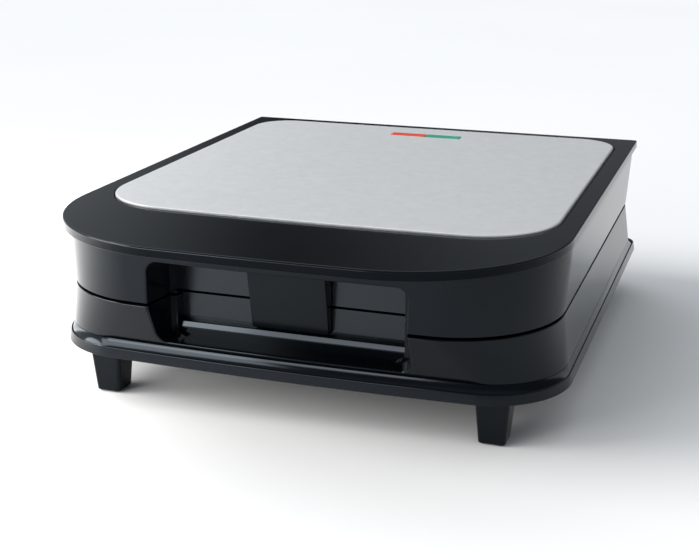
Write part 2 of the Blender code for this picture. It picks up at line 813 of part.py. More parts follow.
def make_base_tray(material):
    rim_bottom = inset(RIM_PLAN, -RIM_FLARE)
    floor_top = TRAY_FLOOR_HEIGHT + TRAY_FLOOR
    seat = FOOT_HEIGHT - CLEARANCE
    rings = [
        ring(inset(rim_bottom, RIM_WALL), TRAY_FLOOR_HEIGHT),
        ring(inset(rim_bottom, RIM_WALL), RIM_BOTTOM),
        ring(inset(rim_bottom, RIM_EDGE), RIM_BOTTOM),
        ring(rim_bottom, RIM_BOTTOM + RIM_EDGE),
        ring(RIM_PLAN, RIM_TOP - RIM_EDGE),
        ring(inset(RIM_PLAN, RIM_EDGE), RIM_TOP),
        ring(blend(RIM_PLAN, FOOT_PLAN, RIM_FLAT_SHARE), RIM_TOP - RIM_EDGE / 2),
        ring(FOOT_PLAN, seat),
        ring(inset(FOOT_PLAN, SEAT_INWARD), seat),
        ring(inset(FOOT_PLAN, SEAT_INWARD), floor_top),
    ]
    tray = mesh_object("base_tray", loft(rings), PARTS, material)
    for side, end, x, y in leg_places():
        leg = loft(
            [
                leg_section(LEG_BOTTOM_WIDTH, LEG_BOTTOM_DEPTH, x, y, PAD_DROP, LEG_EDGE),
                leg_section(LEG_BOTTOM_WIDTH, LEG_BOTTOM_DEPTH, x, y, PAD_DROP + LEG_EDGE),
                leg_section(LEG_TOP_WIDTH, LEG_TOP_DEPTH, x, y, TRAY_FLOOR_HEIGHT + TRAY_FLOOR / 2),
            ]
        )
        join(tray, helper("leg_%s_%s" % (end, side), leg))
        half_x = LEG_BOTTOM_WIDTH / 2 - PAD_MARGIN + CLEARANCE
        half_y = LEG_BOTTOM_DEPTH / 2 - PAD_MARGIN + CLEARANCE
        pocket = box((x - half_x, y - half_y, PAD_DROP - OVERRUN), (x + half_x, y + half_y, PAD_DEPTH))
        cut(tray, helper("pad_pocket_%s_%s" % (end, side), pocket))
    tower_top = LOWER_FACE - PAN_BOTTOM_DROP - CLEARANCE
    for number, (x, y) in enumerate(boss_places(), 1):
        tower = rod(TOWER_RADIUS, (x, y, TRAY_FLOOR_HEIGHT + TRAY_FLOOR / 2), (x, y, tower_top), ROUND_STEPS)
        join(tray, helper("tray_tower_%d" % number, tower))
        cut(tray, screw_hole("tray_bore_%d" % number, x, y, 0, tower_top + OVERRUN))
    return tray


def make_foot_pads(material):
    for side, end, x, y in leg_places():
        half_x = LEG_BOTTOM_WIDTH / 2 - PAD_MARGIN
        half_y = LEG_BOTTOM_DEPTH / 2 - PAD_MARGIN
        pad = box((x - half_x, y - half_y, 0), (x + half_x, y + half_y, PAD_DEPTH - CLEARANCE))
        mesh_object("foot_pad_%s_%s" % (end, side), pad, PARTS, material)


# Steel panel, its indicator lenses and the lamps below them


def lens_slot(grow):
    """Low and high corners, seen from above, of the slot that holds both lenses."""
    rear = PANEL_PLAN.rear - LENS_REAR_MARGIN + LENS_DEPTH
    return (
        (-LENS_WIDTH - CLEARANCE / 2 - grow, rear - LENS_DEPTH - grow),
        (LENS_WIDTH + CLEARANCE / 2 + grow, rear + grow),
    )


def make_lid_panel(material):
    top = FRAME_TOP + PANEL_RISE
    foot = FRAME_TOP - SEAT_DEPTH + CLEARANCE
    rings = [
        ring(inset(PANEL_PLAN, PANEL_EDGE), top - PANEL_SHEET),
        ring(inset(PANEL_PLAN, PANEL_SHEET), top - PANEL_EDGE - PANEL_SHEET),
        ring(inset(PANEL_PLAN, PANEL_SHEET), foot),
        ring(PANEL_PLAN, foot),
        ring(PANEL_PLAN, top - PANEL_EDGE),
        ring(inset(PANEL_PLAN, PANEL_EDGE / 4), top - PANEL_EDGE / 4),
        ring(inset(PANEL_PLAN, PANEL_EDGE), top),
    ]
    panel = mesh_object("lid_panel", loft(rings), PARTS, material)
    low, high = lens_slot(CLEARANCE)
    slot = box((*low, foot), (*high, top + OVERRUN))
    cut(panel, helper("lens_slot_cutter", slot))
    return panel


def make_indicator(red, green, plastic, glass):
    panel_under = FRAME_TOP + PANEL_RISE - PANEL_SHEET
    lens_top = FRAME_TOP + PANEL_RISE + LENS_RAISE
    low, high = lens_slot(0)
    middle_y = (low[1] + high[1]) / 2
    for name, material, start in (("red", red, low[0]), ("green", green, CLEARANCE / 2)):
        lens = box((start, low[1], lens_top - LENS_HEIGHT), (start + LENS_WIDTH, high[1], lens_top))
        body = mesh_object("indicator_lens_" + name, lens, PARTS, material)
        bevel = body.modifiers.new("rounded edges", "BEVEL")
        bevel.width = LENS_EDGE
        bevel.segments = EDGE_STEPS
    outer_low, outer_high = lens_slot(HOLDER_WALL + CLEARANCE)
    holder_top = panel_under - CLEARANCE
    holder = mesh_object(
        "lamp_holder",
        box((*outer_low, holder_top - HOLDER_HEIGHT), (*outer_high, holder_top)),
        PARTS,
        plastic,
    )
    flange_low, flange_high = lens_slot(HOLDER_WALL + HOLDER_FLANGE)
    flange = box((*flange_low, holder_top - HOLDER_WALL), (*flange_high, holder_top))
    join(holder, helper("lamp_holder_flange", flange))
    inner_low, inner_high = lens_slot(CLEARANCE)
    hollow = box((*inner_low, holder_top - HOLDER_HEIGHT + HOLDER_WALL), (*inner_high, holder_top + OVERRUN))
    cut(holder, helper("lamp_holder_hollow", hollow))
    lamp_height = holder_top - HOLDER_HEIGHT + HOLDER_WALL + LAMP_RADIUS + CLEARANCE
    for name, side in (("left", -1), ("right", 1)):
        x = side * LENS_WIDTH / 2
        lamp = rod(
            LAMP_RADIUS,
            (x - LAMP_LENGTH / 2, middle_y, lamp_height),
            (x + LAMP_LENGTH / 2, middle_y, lamp_height),
            SMALL_ROUND_STEPS,
        )
        mesh_object("neon_lamp_" + name, lamp, PARTS, glass)


# Latch, its pin and its spring


def make_latch(material):
    back = RECESS_BACK - LATCH_BACK_GAP
    half = LATCH_WIDTH / 2
    sections = []
    for height, reach, relief in (
        (LATCH_BOTTOM, LATCH_BOTTOM_REACH, 0),
        (PIVOT_HEIGHT - TONGUE_RADIUS, None, 0),
        (LATCH_TOP, LATCH_TOP_REACH, LATCH_HEAD_RELIEF),
    ):
        if reach is None:
            share = (height - LATCH_BOTTOM) / (LATCH_TOP - LATCH_BOTTOM)
            reach = LATCH_BOTTOM_REACH + (LATCH_TOP_REACH - LATCH_BOTTOM_REACH) * share
        low_y = RECESS_BACK - reach
        high_y = back - relief
        corners = [(-half, low_y), (half, low_y), (half, high_y), (-half, high_y)]
        outline = rounded_polygon(corners, [LATCH_EDGE] * 4, EDGE_STEPS)
        sections.append([Vector((p.x, p.y, height)) for p in outline])
    latch = mesh_object("latch", loft(sections), PARTS, material)
    slot_front = PIVOT_Y - TONGUE_RADIUS - CLEARANCE * 2
    slot_bottom = PIVOT_HEIGHT - TONGUE_RADIUS - CLEARANCE * 3
    slot_high = (TONGUE_SLOT / 2, RECESS_BACK + OVERRUN, LATCH_TOP + OVERRUN)
    slot = box((-TONGUE_SLOT / 2, slot_front, slot_bottom), slot_high)
    nose = box(
        (-NOSE_WIDTH / 2, back - LATCH_EDGE, LATCH_BOTTOM + LATCH_EDGE),
        (NOSE_WIDTH / 2, RECESS_BACK - NOSE_GAP, LATCH_BOTTOM + LATCH_EDGE + NOSE_HEIGHT),
    )
    join(latch, helper("latch_nose", nose))
    cut(latch, helper("latch_slot", slot))
    cut(latch, pivot_hole("latch_pivot_hole", -half - OVERRUN, PIVOT_LENGTH / 2 + CLEARANCE))
    return latch


def make_latch_pin(material):
    half = PIVOT_LENGTH / 2
    pin = rod(PIVOT_RADIUS, (-half, PIVOT_Y, PIVOT_HEIGHT), (half, PIVOT_Y, PIVOT_HEIGHT), SMALL_ROUND_STEPS)
    mesh_object("latch_pin", pin, PARTS, material)


def make_latch_spring(material):
    start = TONGUE_WIDTH / 2 + SPRING_WIRE + CLEARANCE
    points = []
    steps = SPRING_TURNS * COIL_STEPS
    for step in range(steps + 1):
        angle = 2 * math.pi * step / COIL_STEPS
        x = start + SPRING_LENGTH * step / steps
        points.append(
            (x, PIVOT_Y + SPRING_RADIUS * math.cos(angle), PIVOT_HEIGHT + SPRING_RADIUS * math.sin(angle))
        )
    mesh_object("latch_spring", tube_mesh("latch_spring", points, SPRING_WIRE / 2, 0), PARTS, material)


# Cooking plates: cast skirts, four cells cut in two by a diagonal, and hollow backs


def pocket_triangles():
    """The eight three-cornered pockets, anticlockwise, about the middle of the plate."""
    half_x = PLATE_PLAN.half - CELL_MARGIN
    half_y = (PLATE_PLAN.rear - PLATE_PLAN.front) / 2 - CELL_MARGIN
    gap = RIDGE_WIDTH / 2
    triangles = []
    for sx in (-1, 1):
        for sy in (-1, 1):
            near = (0, 0)
            across = (half_x, 0)
            along = (0, half_y)
            far = (half_x, half_y)
            for first, second, third in ((near, across, far), (near, far, along)):
                corners = [Vector((sx * x, sy * y)) for x, y in (first, second, third)]
                if sx * sy < 0:
                    corners.reverse()
                triangles.append(pocket_corners(corners, gap))
    return triangles


def pocket_corners(corners, gap):
    """One pocket's corners, half a ridge inside its cell, and the radius of each."""
    moved = shrink_polygon(corners, gap)
    radii = []
    for index, corner in enumerate(moved):
        before = moved[index - 1] - corner
        after = moved[(index + 1) % 3] - corner
        sharp = before.angle(after) < math.radians(80)
        radii.append(POCKET_TIP_RADIUS if sharp else POCKET_RADIUS)
    return moved, radii


def pocket_rings(triangle, profile, face, sign):
    """Rings of a dished pocket: the profile lists how far in and how deep each ring lies."""
    corners, radii = triangle
    rings = []
    for inward, depth in profile:
        points = rounded_polygon(shrink_polygon(corners, inward), radii, POCKET_CORNER_STEPS)
        rings.append([Vector((p.x, PLATE_MIDDLE + p.y, face - sign * depth)) for p in points])
    return rings


def make_plate(name, material, face, sign):
    """A plate whose cooking face looks up (sign 1) or down (sign -1)."""
    rings = [
        ring(inset(PLATE_PLAN, PLATE_EDGE), face),
        ring(PLATE_PLAN, face - sign * PLATE_EDGE),
        ring(PLATE_PLAN, face - sign * PLATE_SKIRT),
        ring(inset(PLATE_PLAN, PLATE_SKIRT_WALL), face - sign * PLATE_SKIRT),
        ring(inset(PLATE_PLAN, PLATE_SKIRT_WALL), face - sign * PLATE_THICKNESS),
    ]
    plate = mesh_object(name, loft(rings), PARTS, material)
    pocket_profile = [(-OVERRUN / 4, -OVERRUN)]
    for inward_share, depth_share in zip(POCKET_INWARD_SHARES, POCKET_DEPTH_SHARES):
        pocket_profile.append((POCKET_DRAFT * inward_share, POCKET_DEPTH * depth_share))
    knee, floor = pocket_profile[-2:]
    back_profile = [
        (-POCKET_WALL, PLATE_THICKNESS / 2),
        (knee[0] - POCKET_WALL, knee[1] + POCKET_WALL / 2),
        (floor[0] - POCKET_WALL, floor[1] + POCKET_WALL),
    ]
    for number, triangle in enumerate(pocket_triangles(), 1):
        back = loft(pocket_rings(triangle, back_profile, face, sign))
        join(plate, helper("%s_back_%d" % (name, number), back))
    end = face - sign * BOSS_DROP
    for number, (x, y) in enumerate(boss_places(), 1):
        boss = rod(BOSS_RADIUS, (x, y, face - sign * PLATE_THICKNESS / 2), (x, y, end), ROUND_STEPS)
        join(plate, helper("%s_boss_%d" % (name, number), boss))
    hub_end = face - sign * (PLATE_THICKNESS + HUB_HEIGHT)
    hub = rod(HUB_RADIUS, (0, PLATE_MIDDLE, face - sign * PLATE_THICKNESS / 2), (0, PLATE_MIDDLE, hub_end))
    join(plate, helper(name + "_hub", hub))
    for number, triangle in enumerate(pocket_triangles(), 1):
        pocket = loft(pocket_rings(triangle, pocket_profile, face, sign))
        cut(plate, helper("%s_pocket_%d" % (name, number), pocket))
    for number, (x, y) in enumerate(boss_places(), 1):
        bottom = end + sign * (SCREW_ENGAGEMENT + CLEARANCE)
        cut(plate, screw_hole("%s_thread_%d" % (name, number), x, y, bottom, end - sign * OVERRUN))
    return plate


def make_pan(name, material, face, sign):
    """The reflector pan behind a plate, its flange between the plate's skirt and the ledge."""
    top = face - sign * PAN_TOP_DROP
    under = top - sign * PAN_SHEET
    floor = face - sign * PAN_BOTTOM_DROP
    wall = inset(PLATE_PLAN, PAN_INSET)
    foot = inset(PLATE_PLAN, PAN_INSET + PAN_SLOPE)
    rings = [
        ring(foot, floor),
        ring(wall, under),
        ring(PLATE_PLAN, under),
        ring(PLATE_PLAN, top),
        ring(inset(wall, PAN_SHEET), top),
        ring(inset(foot, PAN_SHEET), floor + sign * PAN_SHEET),
    ]
    pan = mesh_object(name, loft(rings), PARTS, material)
    reach = OVERRUN * sign
    for number, (x, y) in enumerate(boss_places(), 1):
        cut(pan, screw_hole("%s_screw_hole_%d" % (name, number), x, y, floor - reach, floor + reach))
    for number, x in enumerate((-ELEMENT_X, ELEMENT_X), 1):
        start = (x, TERMINAL_Y, floor - reach)
        hole = rod(TERMINAL_RADIUS * 2, start, (x, TERMINAL_Y, floor + reach), SMALL_ROUND_STEPS)
        cut(pan, helper("%s_lead_hole_%d" % (name, number), hole))
    return pan


def make_element(name, material, face, sign):
    """A tubular heater bent into a U, with a terminal pin at each end."""
    height = face - sign * ELEMENT_DROP
    front = PLATE_PLAN.front + ELEMENT_FRONT_INSET
    points = [(-ELEMENT_X, ELEMENT_REAR, height)]
    for side, start in ((-1, math.pi), (1, math.pi * 3 / 2)):
        centre_x = side * (ELEMENT_X - ELEMENT_BEND)
        for step in range(BEND_STEPS + 1):
            angle = start + math.pi / 2 * step / BEND_STEPS
            points.append(
                (
                    centre_x + ELEMENT_BEND * math.cos(angle),
                    front + ELEMENT_BEND + ELEMENT_BEND * math.sin(angle),
                    height,
                )
            )
    points.append((ELEMENT_X, ELEMENT_REAR, height))
    element = mesh_object(name, tube_mesh(name, points, ELEMENT_RADIUS), PARTS, material)
    end = height - sign * (ELEMENT_RADIUS + TERMINAL_LENGTH)
    for number, x in enumerate((-ELEMENT_X, ELEMENT_X), 1):
        pin = rod(TERMINAL_RADIUS, (x, TERMINAL_Y, height), (x, TERMINAL_Y, end), SMALL_ROUND_STEPS)
        join(element, helper("%s_terminal_%d" % (name, number), pin))
    return element


def make_screw(name, material, x, y, head_face, tip, sign):
    """A pan head screw: its head bears on head_face, and its tip points towards a plate."""
    head = SCREW_HEAD_HEIGHT
    length = abs(tip - head_face)
    profile = [
        (0, head),
        (SCREW_HEAD_RADIUS - head / 2, head),
        (SCREW_HEAD_RADIUS, head / 2),
        (SCREW_HEAD_RADIUS, 0),
        (SCREW_RADIUS, 0),
        (SCREW_RADIUS, SCREW_RADIUS - length),
        (0, -length),
    ]
    turn = Matrix.Rotation(math.pi if sign > 0 else 0, 4, "X")
    turned(name, profile, Matrix.Translation((x, y, head_face)) @ turn, SMALL_ROUND_STEPS, PARTS, material)


def make_plate_screws(material):
    reach = BOSS_DROP - SCREW_ENGAGEMENT
    lower_head = TRAY_FLOOR_HEIGHT - CLEARANCE
    upper_head = FRAME_TOP - SEAT_DEPTH + CLEARANCE
    for number, (x, y) in enumerate(boss_places(), 1):
        make_screw("lower_plate_screw_%d" % number, material, x, y, lower_head, LOWER_FACE - reach, 1)
        make_screw("upper_plate_screw_%d" % number, material, x, y, upper_head, UPPER_FACE + reach, -1)


# Thermostat, thermal fuse, terminal block and leads


def make_controls(plastic, steel, ceramic, lead):
    hub = LOWER_FACE - PLATE_THICKNESS - HUB_HEIGHT - CLEARANCE
    thermostat = rod(THERMOSTAT_RADIUS, (0, PLATE_MIDDLE, hub), (0, PLATE_MIDDLE, hub - THERMOSTAT_HEIGHT))
    mesh_object("thermostat", thermostat, PARTS, steel)
    fuse_height = UPPER_FACE + PLATE_THICKNESS + HUB_HEIGHT + CLEARANCE + FUSE_RADIUS
    fuse_start = (-FUSE_LENGTH / 2, PLATE_MIDDLE, fuse_height)
    fuse = rod(FUSE_RADIUS, fuse_start, (FUSE_LENGTH / 2, PLATE_MIDDLE, fuse_height), SMALL_ROUND_STEPS)
    mesh_object("thermal_fuse", fuse, PARTS, steel)
    floor = TRAY_FLOOR_HEIGHT + TRAY_FLOOR
    middle_y = (PLATE_WINDOW.rear + WALL + SPLIT_PLAN.rear - WALL) / 2
    low = (BLOCK_X - BLOCK_WIDTH / 2, middle_y - BLOCK_DEPTH / 2, floor + CLEARANCE)
    high = (BLOCK_X + BLOCK_WIDTH / 2, middle_y + BLOCK_DEPTH / 2, floor + CLEARANCE + BLOCK_HEIGHT)
    block = mesh_object("terminal_block", box(low, high), PARTS, ceramic)
    for number, share in enumerate((-1 / 3, 0, 1 / 3), 1):
        x = BLOCK_X + BLOCK_WIDTH * share
        start = (x, middle_y, high[2] - BLOCK_HEIGHT / 2)
        well = rod(SCREW_HEAD_RADIUS, start, (x, middle_y, high[2] + OVERRUN), SMALL_ROUND_STEPS)
        cut(block, helper("terminal_well_%d" % number, well))
    for name, x, end_x in (
        ("left", -ELEMENT_X, BLOCK_X - BLOCK_WIDTH / 4),
        ("right", ELEMENT_X, BLOCK_X + BLOCK_WIDTH / 4),
    ):
        make_lead("element_lead_" + name, lead, x, end_x, low[1])


def make_lead(name, material, x, end_x, end_y):
    """A sleeved lead from a terminal of the lower heater, over the tray's floor, to the terminal block."""
    pin_end = LOWER_FACE - ELEMENT_DROP - ELEMENT_RADIUS - TERMINAL_LENGTH
    low = TRAY_FLOOR_HEIGHT + TRAY_FLOOR + LEAD_RADIUS + LEAD_RISE
    high = low + LEAD_RADIUS
    run_x = end_x - x
    run_y = end_y - TERMINAL_Y
    route = [
        (x, TERMINAL_Y, pin_end - CLEARANCE),
        (x, TERMINAL_Y, high),
        (x, TERMINAL_Y + LEAD_RADIUS * 2, low),
        (x + run_x / 4, TERMINAL_Y + run_y / 3, low),
        (x + run_x * 3 / 4, TERMINAL_Y + run_y * 2 / 3, low),
        (end_x, end_y - LEAD_RADIUS * 3, high),
        (end_x, end_y - CLEARANCE, high),
    ]
    mesh_object(name, tube_mesh(name, route, LEAD_RADIUS, 1), PARTS, material)


# Hinge pins and the cord inlet


def make_hinge_pins(material):
    reach = KNUCKLE_LENGTH / 2 + CLEARANCE + EAR_LENGTH
    profile = [
        (0, reach + CLEARANCE + PIN_HEAD_LENGTH),
        (PIN_HEAD_RADIUS - PIN_HEAD_LENGTH / 2, reach + CLEARANCE + PIN_HEAD_LENGTH),
        (PIN_HEAD_RADIUS, reach + CLEARANCE + PIN_HEAD_LENGTH / 2),
        (PIN_HEAD_RADIUS, reach + CLEARANCE),
        (HINGE_PIN_RADIUS, reach + CLEARANCE),
        (HINGE_PIN_RADIUS, CLEARANCE - reach),
        (HINGE_PIN_RADIUS - CLEARANCE, -reach),
        (0, -reach),
    ]
    for side in (-1, 1):
        place = Matrix.Translation((side * HINGE_X, HINGE_Y, SPLIT_HEIGHT))
        turn = Matrix.Rotation(side * math.pi / 2, 4, "Y")
        turned("hinge_pin_" + side_name(side), profile, place @ turn, ROUND_STEPS, PARTS, material)


def make_cord_inlet(material):
    """A moulded bush with its groove round the rear wall, turned about the cord's line."""
    wall_share = (GLAND_HEIGHT - FOOT_HEIGHT) / (BASE_TOP - FOOT_HEIGHT)
    wall_face = FOOT_PLAN.rear + (SPLIT_PLAN.rear - FOOT_PLAN.rear) * wall_share
    outside = CLEARANCE * 3
    inside = -WALL - CLEARANCE * 3
    profile = [
        (GLAND_BORE, outside + GLAND_FLANGE + GLAND_NECK),
        (GLAND_RADIUS - WALL / 2, outside + GLAND_FLANGE + GLAND_NECK),
        (GLAND_RADIUS, outside + GLAND_FLANGE),
        (GLAND_FLANGE_RADIUS, outside + GLAND_FLANGE),
        (GLAND_FLANGE_RADIUS, outside),
        (GLAND_RADIUS, outside),
        (GLAND_RADIUS, inside),
        (GLAND_FLANGE_RADIUS, inside),
        (GLAND_FLANGE_RADIUS, inside - GLAND_FLANGE),
        (GLAND_BORE, inside - GLAND_FLANGE),
    ]
    place = Matrix.Translation((BLOCK_X, wall_face, GLAND_HEIGHT)) @ Matrix.Rotation(-math.pi / 2, 4, "X")
    turned("cord_inlet", profile, place, ROUND_STEPS, PARTS, material, closed=True)


# Joints: each moving group hangs on an empty that stands on its axis


def add_axis(name, place, parent=None):
    axis = bpy.data.objects.new(name, None)
    PARTS.objects.link(axis)
    axis.location = place
    axis.empty_display_size = KNUCKLE_LENGTH
    if parent is not None:
        hang(axis, parent)
    return axis


def hang(obj, parent):
    obj.parent = parent
    obj.matrix_parent_inverse = parent.matrix_world.inverted()


def hang_moving_pieces():
    hinge_axis = add_axis("lid_hinge_axis", (0, HINGE_Y, SPLIT_HEIGHT))
    pivot_axis = add_axis("latch_pivot_axis", (0, PIVOT_Y, PIVOT_HEIGHT))
    bpy.context.view_layer.update()
    hang(pivot_axis, hinge_axis)
    lid_starts = ("lid_", "indicator_", "lamp_", "neon_", "upper_", "thermal_")
    for obj in list(PARTS.objects):
        if obj.type != "MESH":
            continue
        if obj.name.startswith("latch"):
            hang(obj, pivot_axis)
        elif obj.name.startswith(lid_starts):
            hang(obj, hinge_axis)


def main():
    global PARTS, CUTTERS
    for obj in list(bpy.data.objects):
        bpy.data.objects.remove(obj, do_unlink=True)
    PARTS = make_collection("sandwich_maker")
    CUTTERS = make_collection("cutters")

    gloss_black = make_material("gloss_black_plastic", (0.018, 0.019, 0.022), 0.12)
    satin_black = make_material("satin_black_plastic", (0.020, 0.022, 0.024), 0.38)
    brushed = make_material("brushed_steel", (0.62, 0.63, 0.64), 0.34, 1.0)
    bright = make_material("bright_steel", (0.55, 0.55, 0.56), 0.25, 1.0)
    coated = make_material("coated_aluminium", (0.030, 0.030, 0.032), 0.42, 0.3)
    sheath = make_material("element_sheath", (0.25, 0.24, 0.23), 0.45, 0.8)
    rubber = make_material("rubber", (0.02, 0.02, 0.02), 0.8)
    red = make_material("red_lens", (0.55, 0.07, 0.04), 0.2)
    green = make_material("green_lens", (0.02, 0.28, 0.18), 0.2)
    white = make_material("white_plastic", (0.75, 0.74, 0.70), 0.5)
    glass = make_material("lamp_glass", (0.80, 0.80, 0.78), 0.05)
    insulation = make_material("lead_insulation", (0.45, 0.44, 0.40), 0.7)

    recess = recess_cutter()
    make_lid_cover(gloss_black, recess)
    make_lid_panel(brushed)
    make_indicator(red, green, white, glass)
    make_latch(satin_black)
    make_latch_pin(bright)
    make_latch_spring(bright)
    make_base_housing(gloss_black, recess)
    make_base_tray(gloss_black)
    make_foot_pads(rubber)
    make_plate("lower_plate", coated, LOWER_FACE, 1)
    make_plate("upper_plate", coated, UPPER_FACE, -1)
    make_pan("lower_reflector", bright, LOWER_FACE, 1)
    make_pan("upper_reflector", bright, UPPER_FACE, -1)
    make_element("lower_element", sheath, LOWER_FACE, 1)
    make_element("upper_element", sheath, UPPER_FACE, -1)
    make_plate_screws(bright)
    make_controls(white, bright, white, insulation)
    make_hinge_pins(bright)
    make_cord_inlet(rubber)
    hang_moving_pieces()


main()
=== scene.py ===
import json
import math
from collections import namedtuple

import bmesh
import bpy
from mathutils import Matrix, Vector


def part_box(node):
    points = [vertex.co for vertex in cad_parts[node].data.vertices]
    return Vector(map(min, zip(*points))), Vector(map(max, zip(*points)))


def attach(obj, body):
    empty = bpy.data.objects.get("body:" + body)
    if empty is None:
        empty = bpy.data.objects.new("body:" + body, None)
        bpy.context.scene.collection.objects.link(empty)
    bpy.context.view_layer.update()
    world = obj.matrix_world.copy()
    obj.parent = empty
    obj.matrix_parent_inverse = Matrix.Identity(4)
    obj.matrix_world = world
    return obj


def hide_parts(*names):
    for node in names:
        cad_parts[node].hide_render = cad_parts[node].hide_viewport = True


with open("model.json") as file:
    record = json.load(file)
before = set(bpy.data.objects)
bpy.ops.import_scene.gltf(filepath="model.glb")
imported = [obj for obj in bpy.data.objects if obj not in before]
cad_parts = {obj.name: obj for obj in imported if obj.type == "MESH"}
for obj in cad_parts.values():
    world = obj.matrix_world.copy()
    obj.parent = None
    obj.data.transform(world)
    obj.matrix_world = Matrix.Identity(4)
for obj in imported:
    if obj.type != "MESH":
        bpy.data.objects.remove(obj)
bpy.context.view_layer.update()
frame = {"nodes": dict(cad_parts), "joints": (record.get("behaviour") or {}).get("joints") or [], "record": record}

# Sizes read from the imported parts
LID_LOW, LID_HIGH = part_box("lid_cover")
BASE_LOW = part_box("base_housing")[0]
PANEL_LOW, PANEL_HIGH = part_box("lid_panel")
LATCH_LOW, LATCH_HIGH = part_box("latch")
PLATE_LOW, PLATE_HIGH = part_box("lower_plate")
UPPER_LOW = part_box("upper_plate")[0]
PAD_LOW, PAD_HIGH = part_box("foot_pad_front_right")
REAR_PAD_LOW, REAR_PAD_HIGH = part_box("foot_pad_rear_right")
INLET_LOW, INLET_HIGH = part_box("cord_inlet")
JOINTS = {joint["name"]: joint for joint in frame["joints"]}
SLOTS = {part["node"]: part["material_slot"] for part in frame["record"]["subparts"]}
HINGE_Y, SPLIT_HEIGHT = JOINTS["lid_hinge"]["pos_m"][1:]
PIVOT_Y, PIVOT_HEIGHT = JOINTS["latch_pivot"]["pos_m"][1:]

# Frame and visor
FRAME_TOP = LID_HIGH.z
FRAME_HALF = LID_HIGH.x
FRONT = LID_LOW.y
REAR_SETBACK = 0.0066
REAR = HINGE_Y - REAR_SETBACK
FRAME_THICKNESS = 0.0050
FRAME_FRONT_RADIUS = 0.088
FRAME_REAR_RADIUS = 0.0018
FRAME_EDGE = 0.0010
FRONT_BOW_RADIUS = 1.9
LIP_SLANT = 0.5

# Walls
WALL = 0.0025
SPLIT_GAP = 0.0014
LID_BOTTOM = SPLIT_HEIGHT + SPLIT_GAP / 2
BASE_TOP = SPLIT_HEIGHT - SPLIT_GAP / 2
VISOR_REACH = 0.0268
WALL_FRONT_RADIUS = 0.059
WALL_REAR_RADIUS = 0.022
WALL_REAR_SETBACK = 0.0030
LID_WALL_TAPER = 0.0024
LID_SIDE_STEP = 0.0004
LID_FRONT_LEAN = 0.0010
COVE = 0.0030
SHELL_EDGE = 0.0006
BASE_SIDE_FLARE = 0.0034
BASE_REAR_FLARE = 0.0016
BASE_FRONT_SLOPE = 0.0118
FOOT_FRONT_RADIUS = 0.0430

# Tray
FOOT_HEIGHT = BASE_LOW.z
RIM_TOP = 0.0321
RIM_BOTTOM = 0.0263
RIM_OVERHANG = 0.0019
RIM_FRONT_OVERHANG = 0.0028
RIM_REAR_OVERHANG = 0.0058
RIM_FLARE = 0.0009
RIM_EDGE = 0.0006
RIM_WALL = 0.0022
RIM_FRONT_RADIUS = 0.0445
RIM_REAR_RADIUS = 0.012
TRAY_FLOOR = 0.0025
TRAY_FLOOR_HEIGHT = 0.0293
SEAT_INWARD = 0.0045
COVE_FOOT_SHARE = 0.32
COVE_CURVE_SHARE = 0.42
COVE_STEPS = 6

# Legs
LEG_TOP_WIDTH = 0.0190
LEG_TOP_DEPTH = 0.0192
LEG_BOTTOM_WIDTH = 0.0144
LEG_BOTTOM_DEPTH = 0.0150
LEG_RADIUS = 0.0022
LEG_EDGE = 0.0009
PAD_DROP = 0.0006
PAD_DEPTH = 0.0022
PAD_GAP = 0.0003

# Panel and its window
PANEL_HALF = PANEL_HIGH.x
PANEL_FRONT_RADIUS = 0.0448
PANEL_REAR_RADIUS = 0.0247
PANEL_SHEET = 0.0008
PANEL_EDGE = 0.0012
WINDOW_GAP = 0.0009
SEAT_DEPTH = 0.0030
SEAT_WIDTH = 0.0060
SEAT_THICKNESS = 0.0022
LENS_EDGE = 0.0006

# Recess
RECESS_WIDTH = 0.1404
RECESS_DEPTH = 0.0302
RECESS_DRAFT = 0.0040
RECESS_FLOOR = 0.0390
RECESS_TOP = 0.0861
RECESS_RADIUS = 0.0060
RECESS_WALL = 0.0022
RECESS_LIP = 0.0010
STEP_HEIGHT = 0.0472
STEP_DEPTH = 0.0054
STEP_EDGE = 0.0004
STEP_SLOPE_HEIGHT = 0.0030
STEP_SLOPE_RUN = 0.00085
JAMB_WIDTH = 0.0036
JAMB_DEPTH = 0.0080
JAMB_RELIEF = 0.0002

# Latch
LATCH_HALF = LATCH_HIGH.x
LATCH_TOP_REACH = 0.0108
LATCH_BOTTOM_REACH = 0.0046
LATCH_BACK_GAP = 0.0006
LATCH_HEAD_RELIEF = 0.0024
LATCH_HEAD_START_SHARE = 0.75
LATCH_EDGE = 0.0008
LATCH_END_EDGE = 0.00064
LATCH_STEPS = 4
TONGUE_HALF = 0.0070
TONGUE_RADIUS = 0.0028
TONGUE_SLOT = 0.0280
TONGUE_STEPS = 24

# Plates
PLATE_FRONT_RADIUS = 0.022
PLATE_REAR_RADIUS = 0.016
PLATE_EDGE = 0.0006
PLATE_SKIRT_WALL = 0.0026
PLATE_SIDE_GAP = 0.0006
PLATE_SKIRT = 0.0134
LEDGE_WIDTH = 0.0050
LEDGE_THICKNESS = 0.0025
LEDGE_DROP = 0.0144
CELL_MARGIN = 0.0085
RIDGE_WIDTH = 0.0050
POCKET_DEPTH = 0.0115
POCKET_DRAFT = 0.0129
POCKET_LIP = 0.0006
POCKET_STEPS = 9
POCKET_RADIUS = 0.0100
POCKET_TIP_RADIUS = 0.0060
POCKET_TIP_ANGLE = math.radians(80)

# Hinge
HINGE_SPACING = 0.1700
KNUCKLE_LENGTH = 0.0300
EAR_LENGTH = 0.0070
BARREL_RADIUS = 0.0062
HINGE_WEB_HEIGHT = 0.0120
PIN_RADIUS = 0.0025
INLET_HOLE_RADIUS = 0.0065

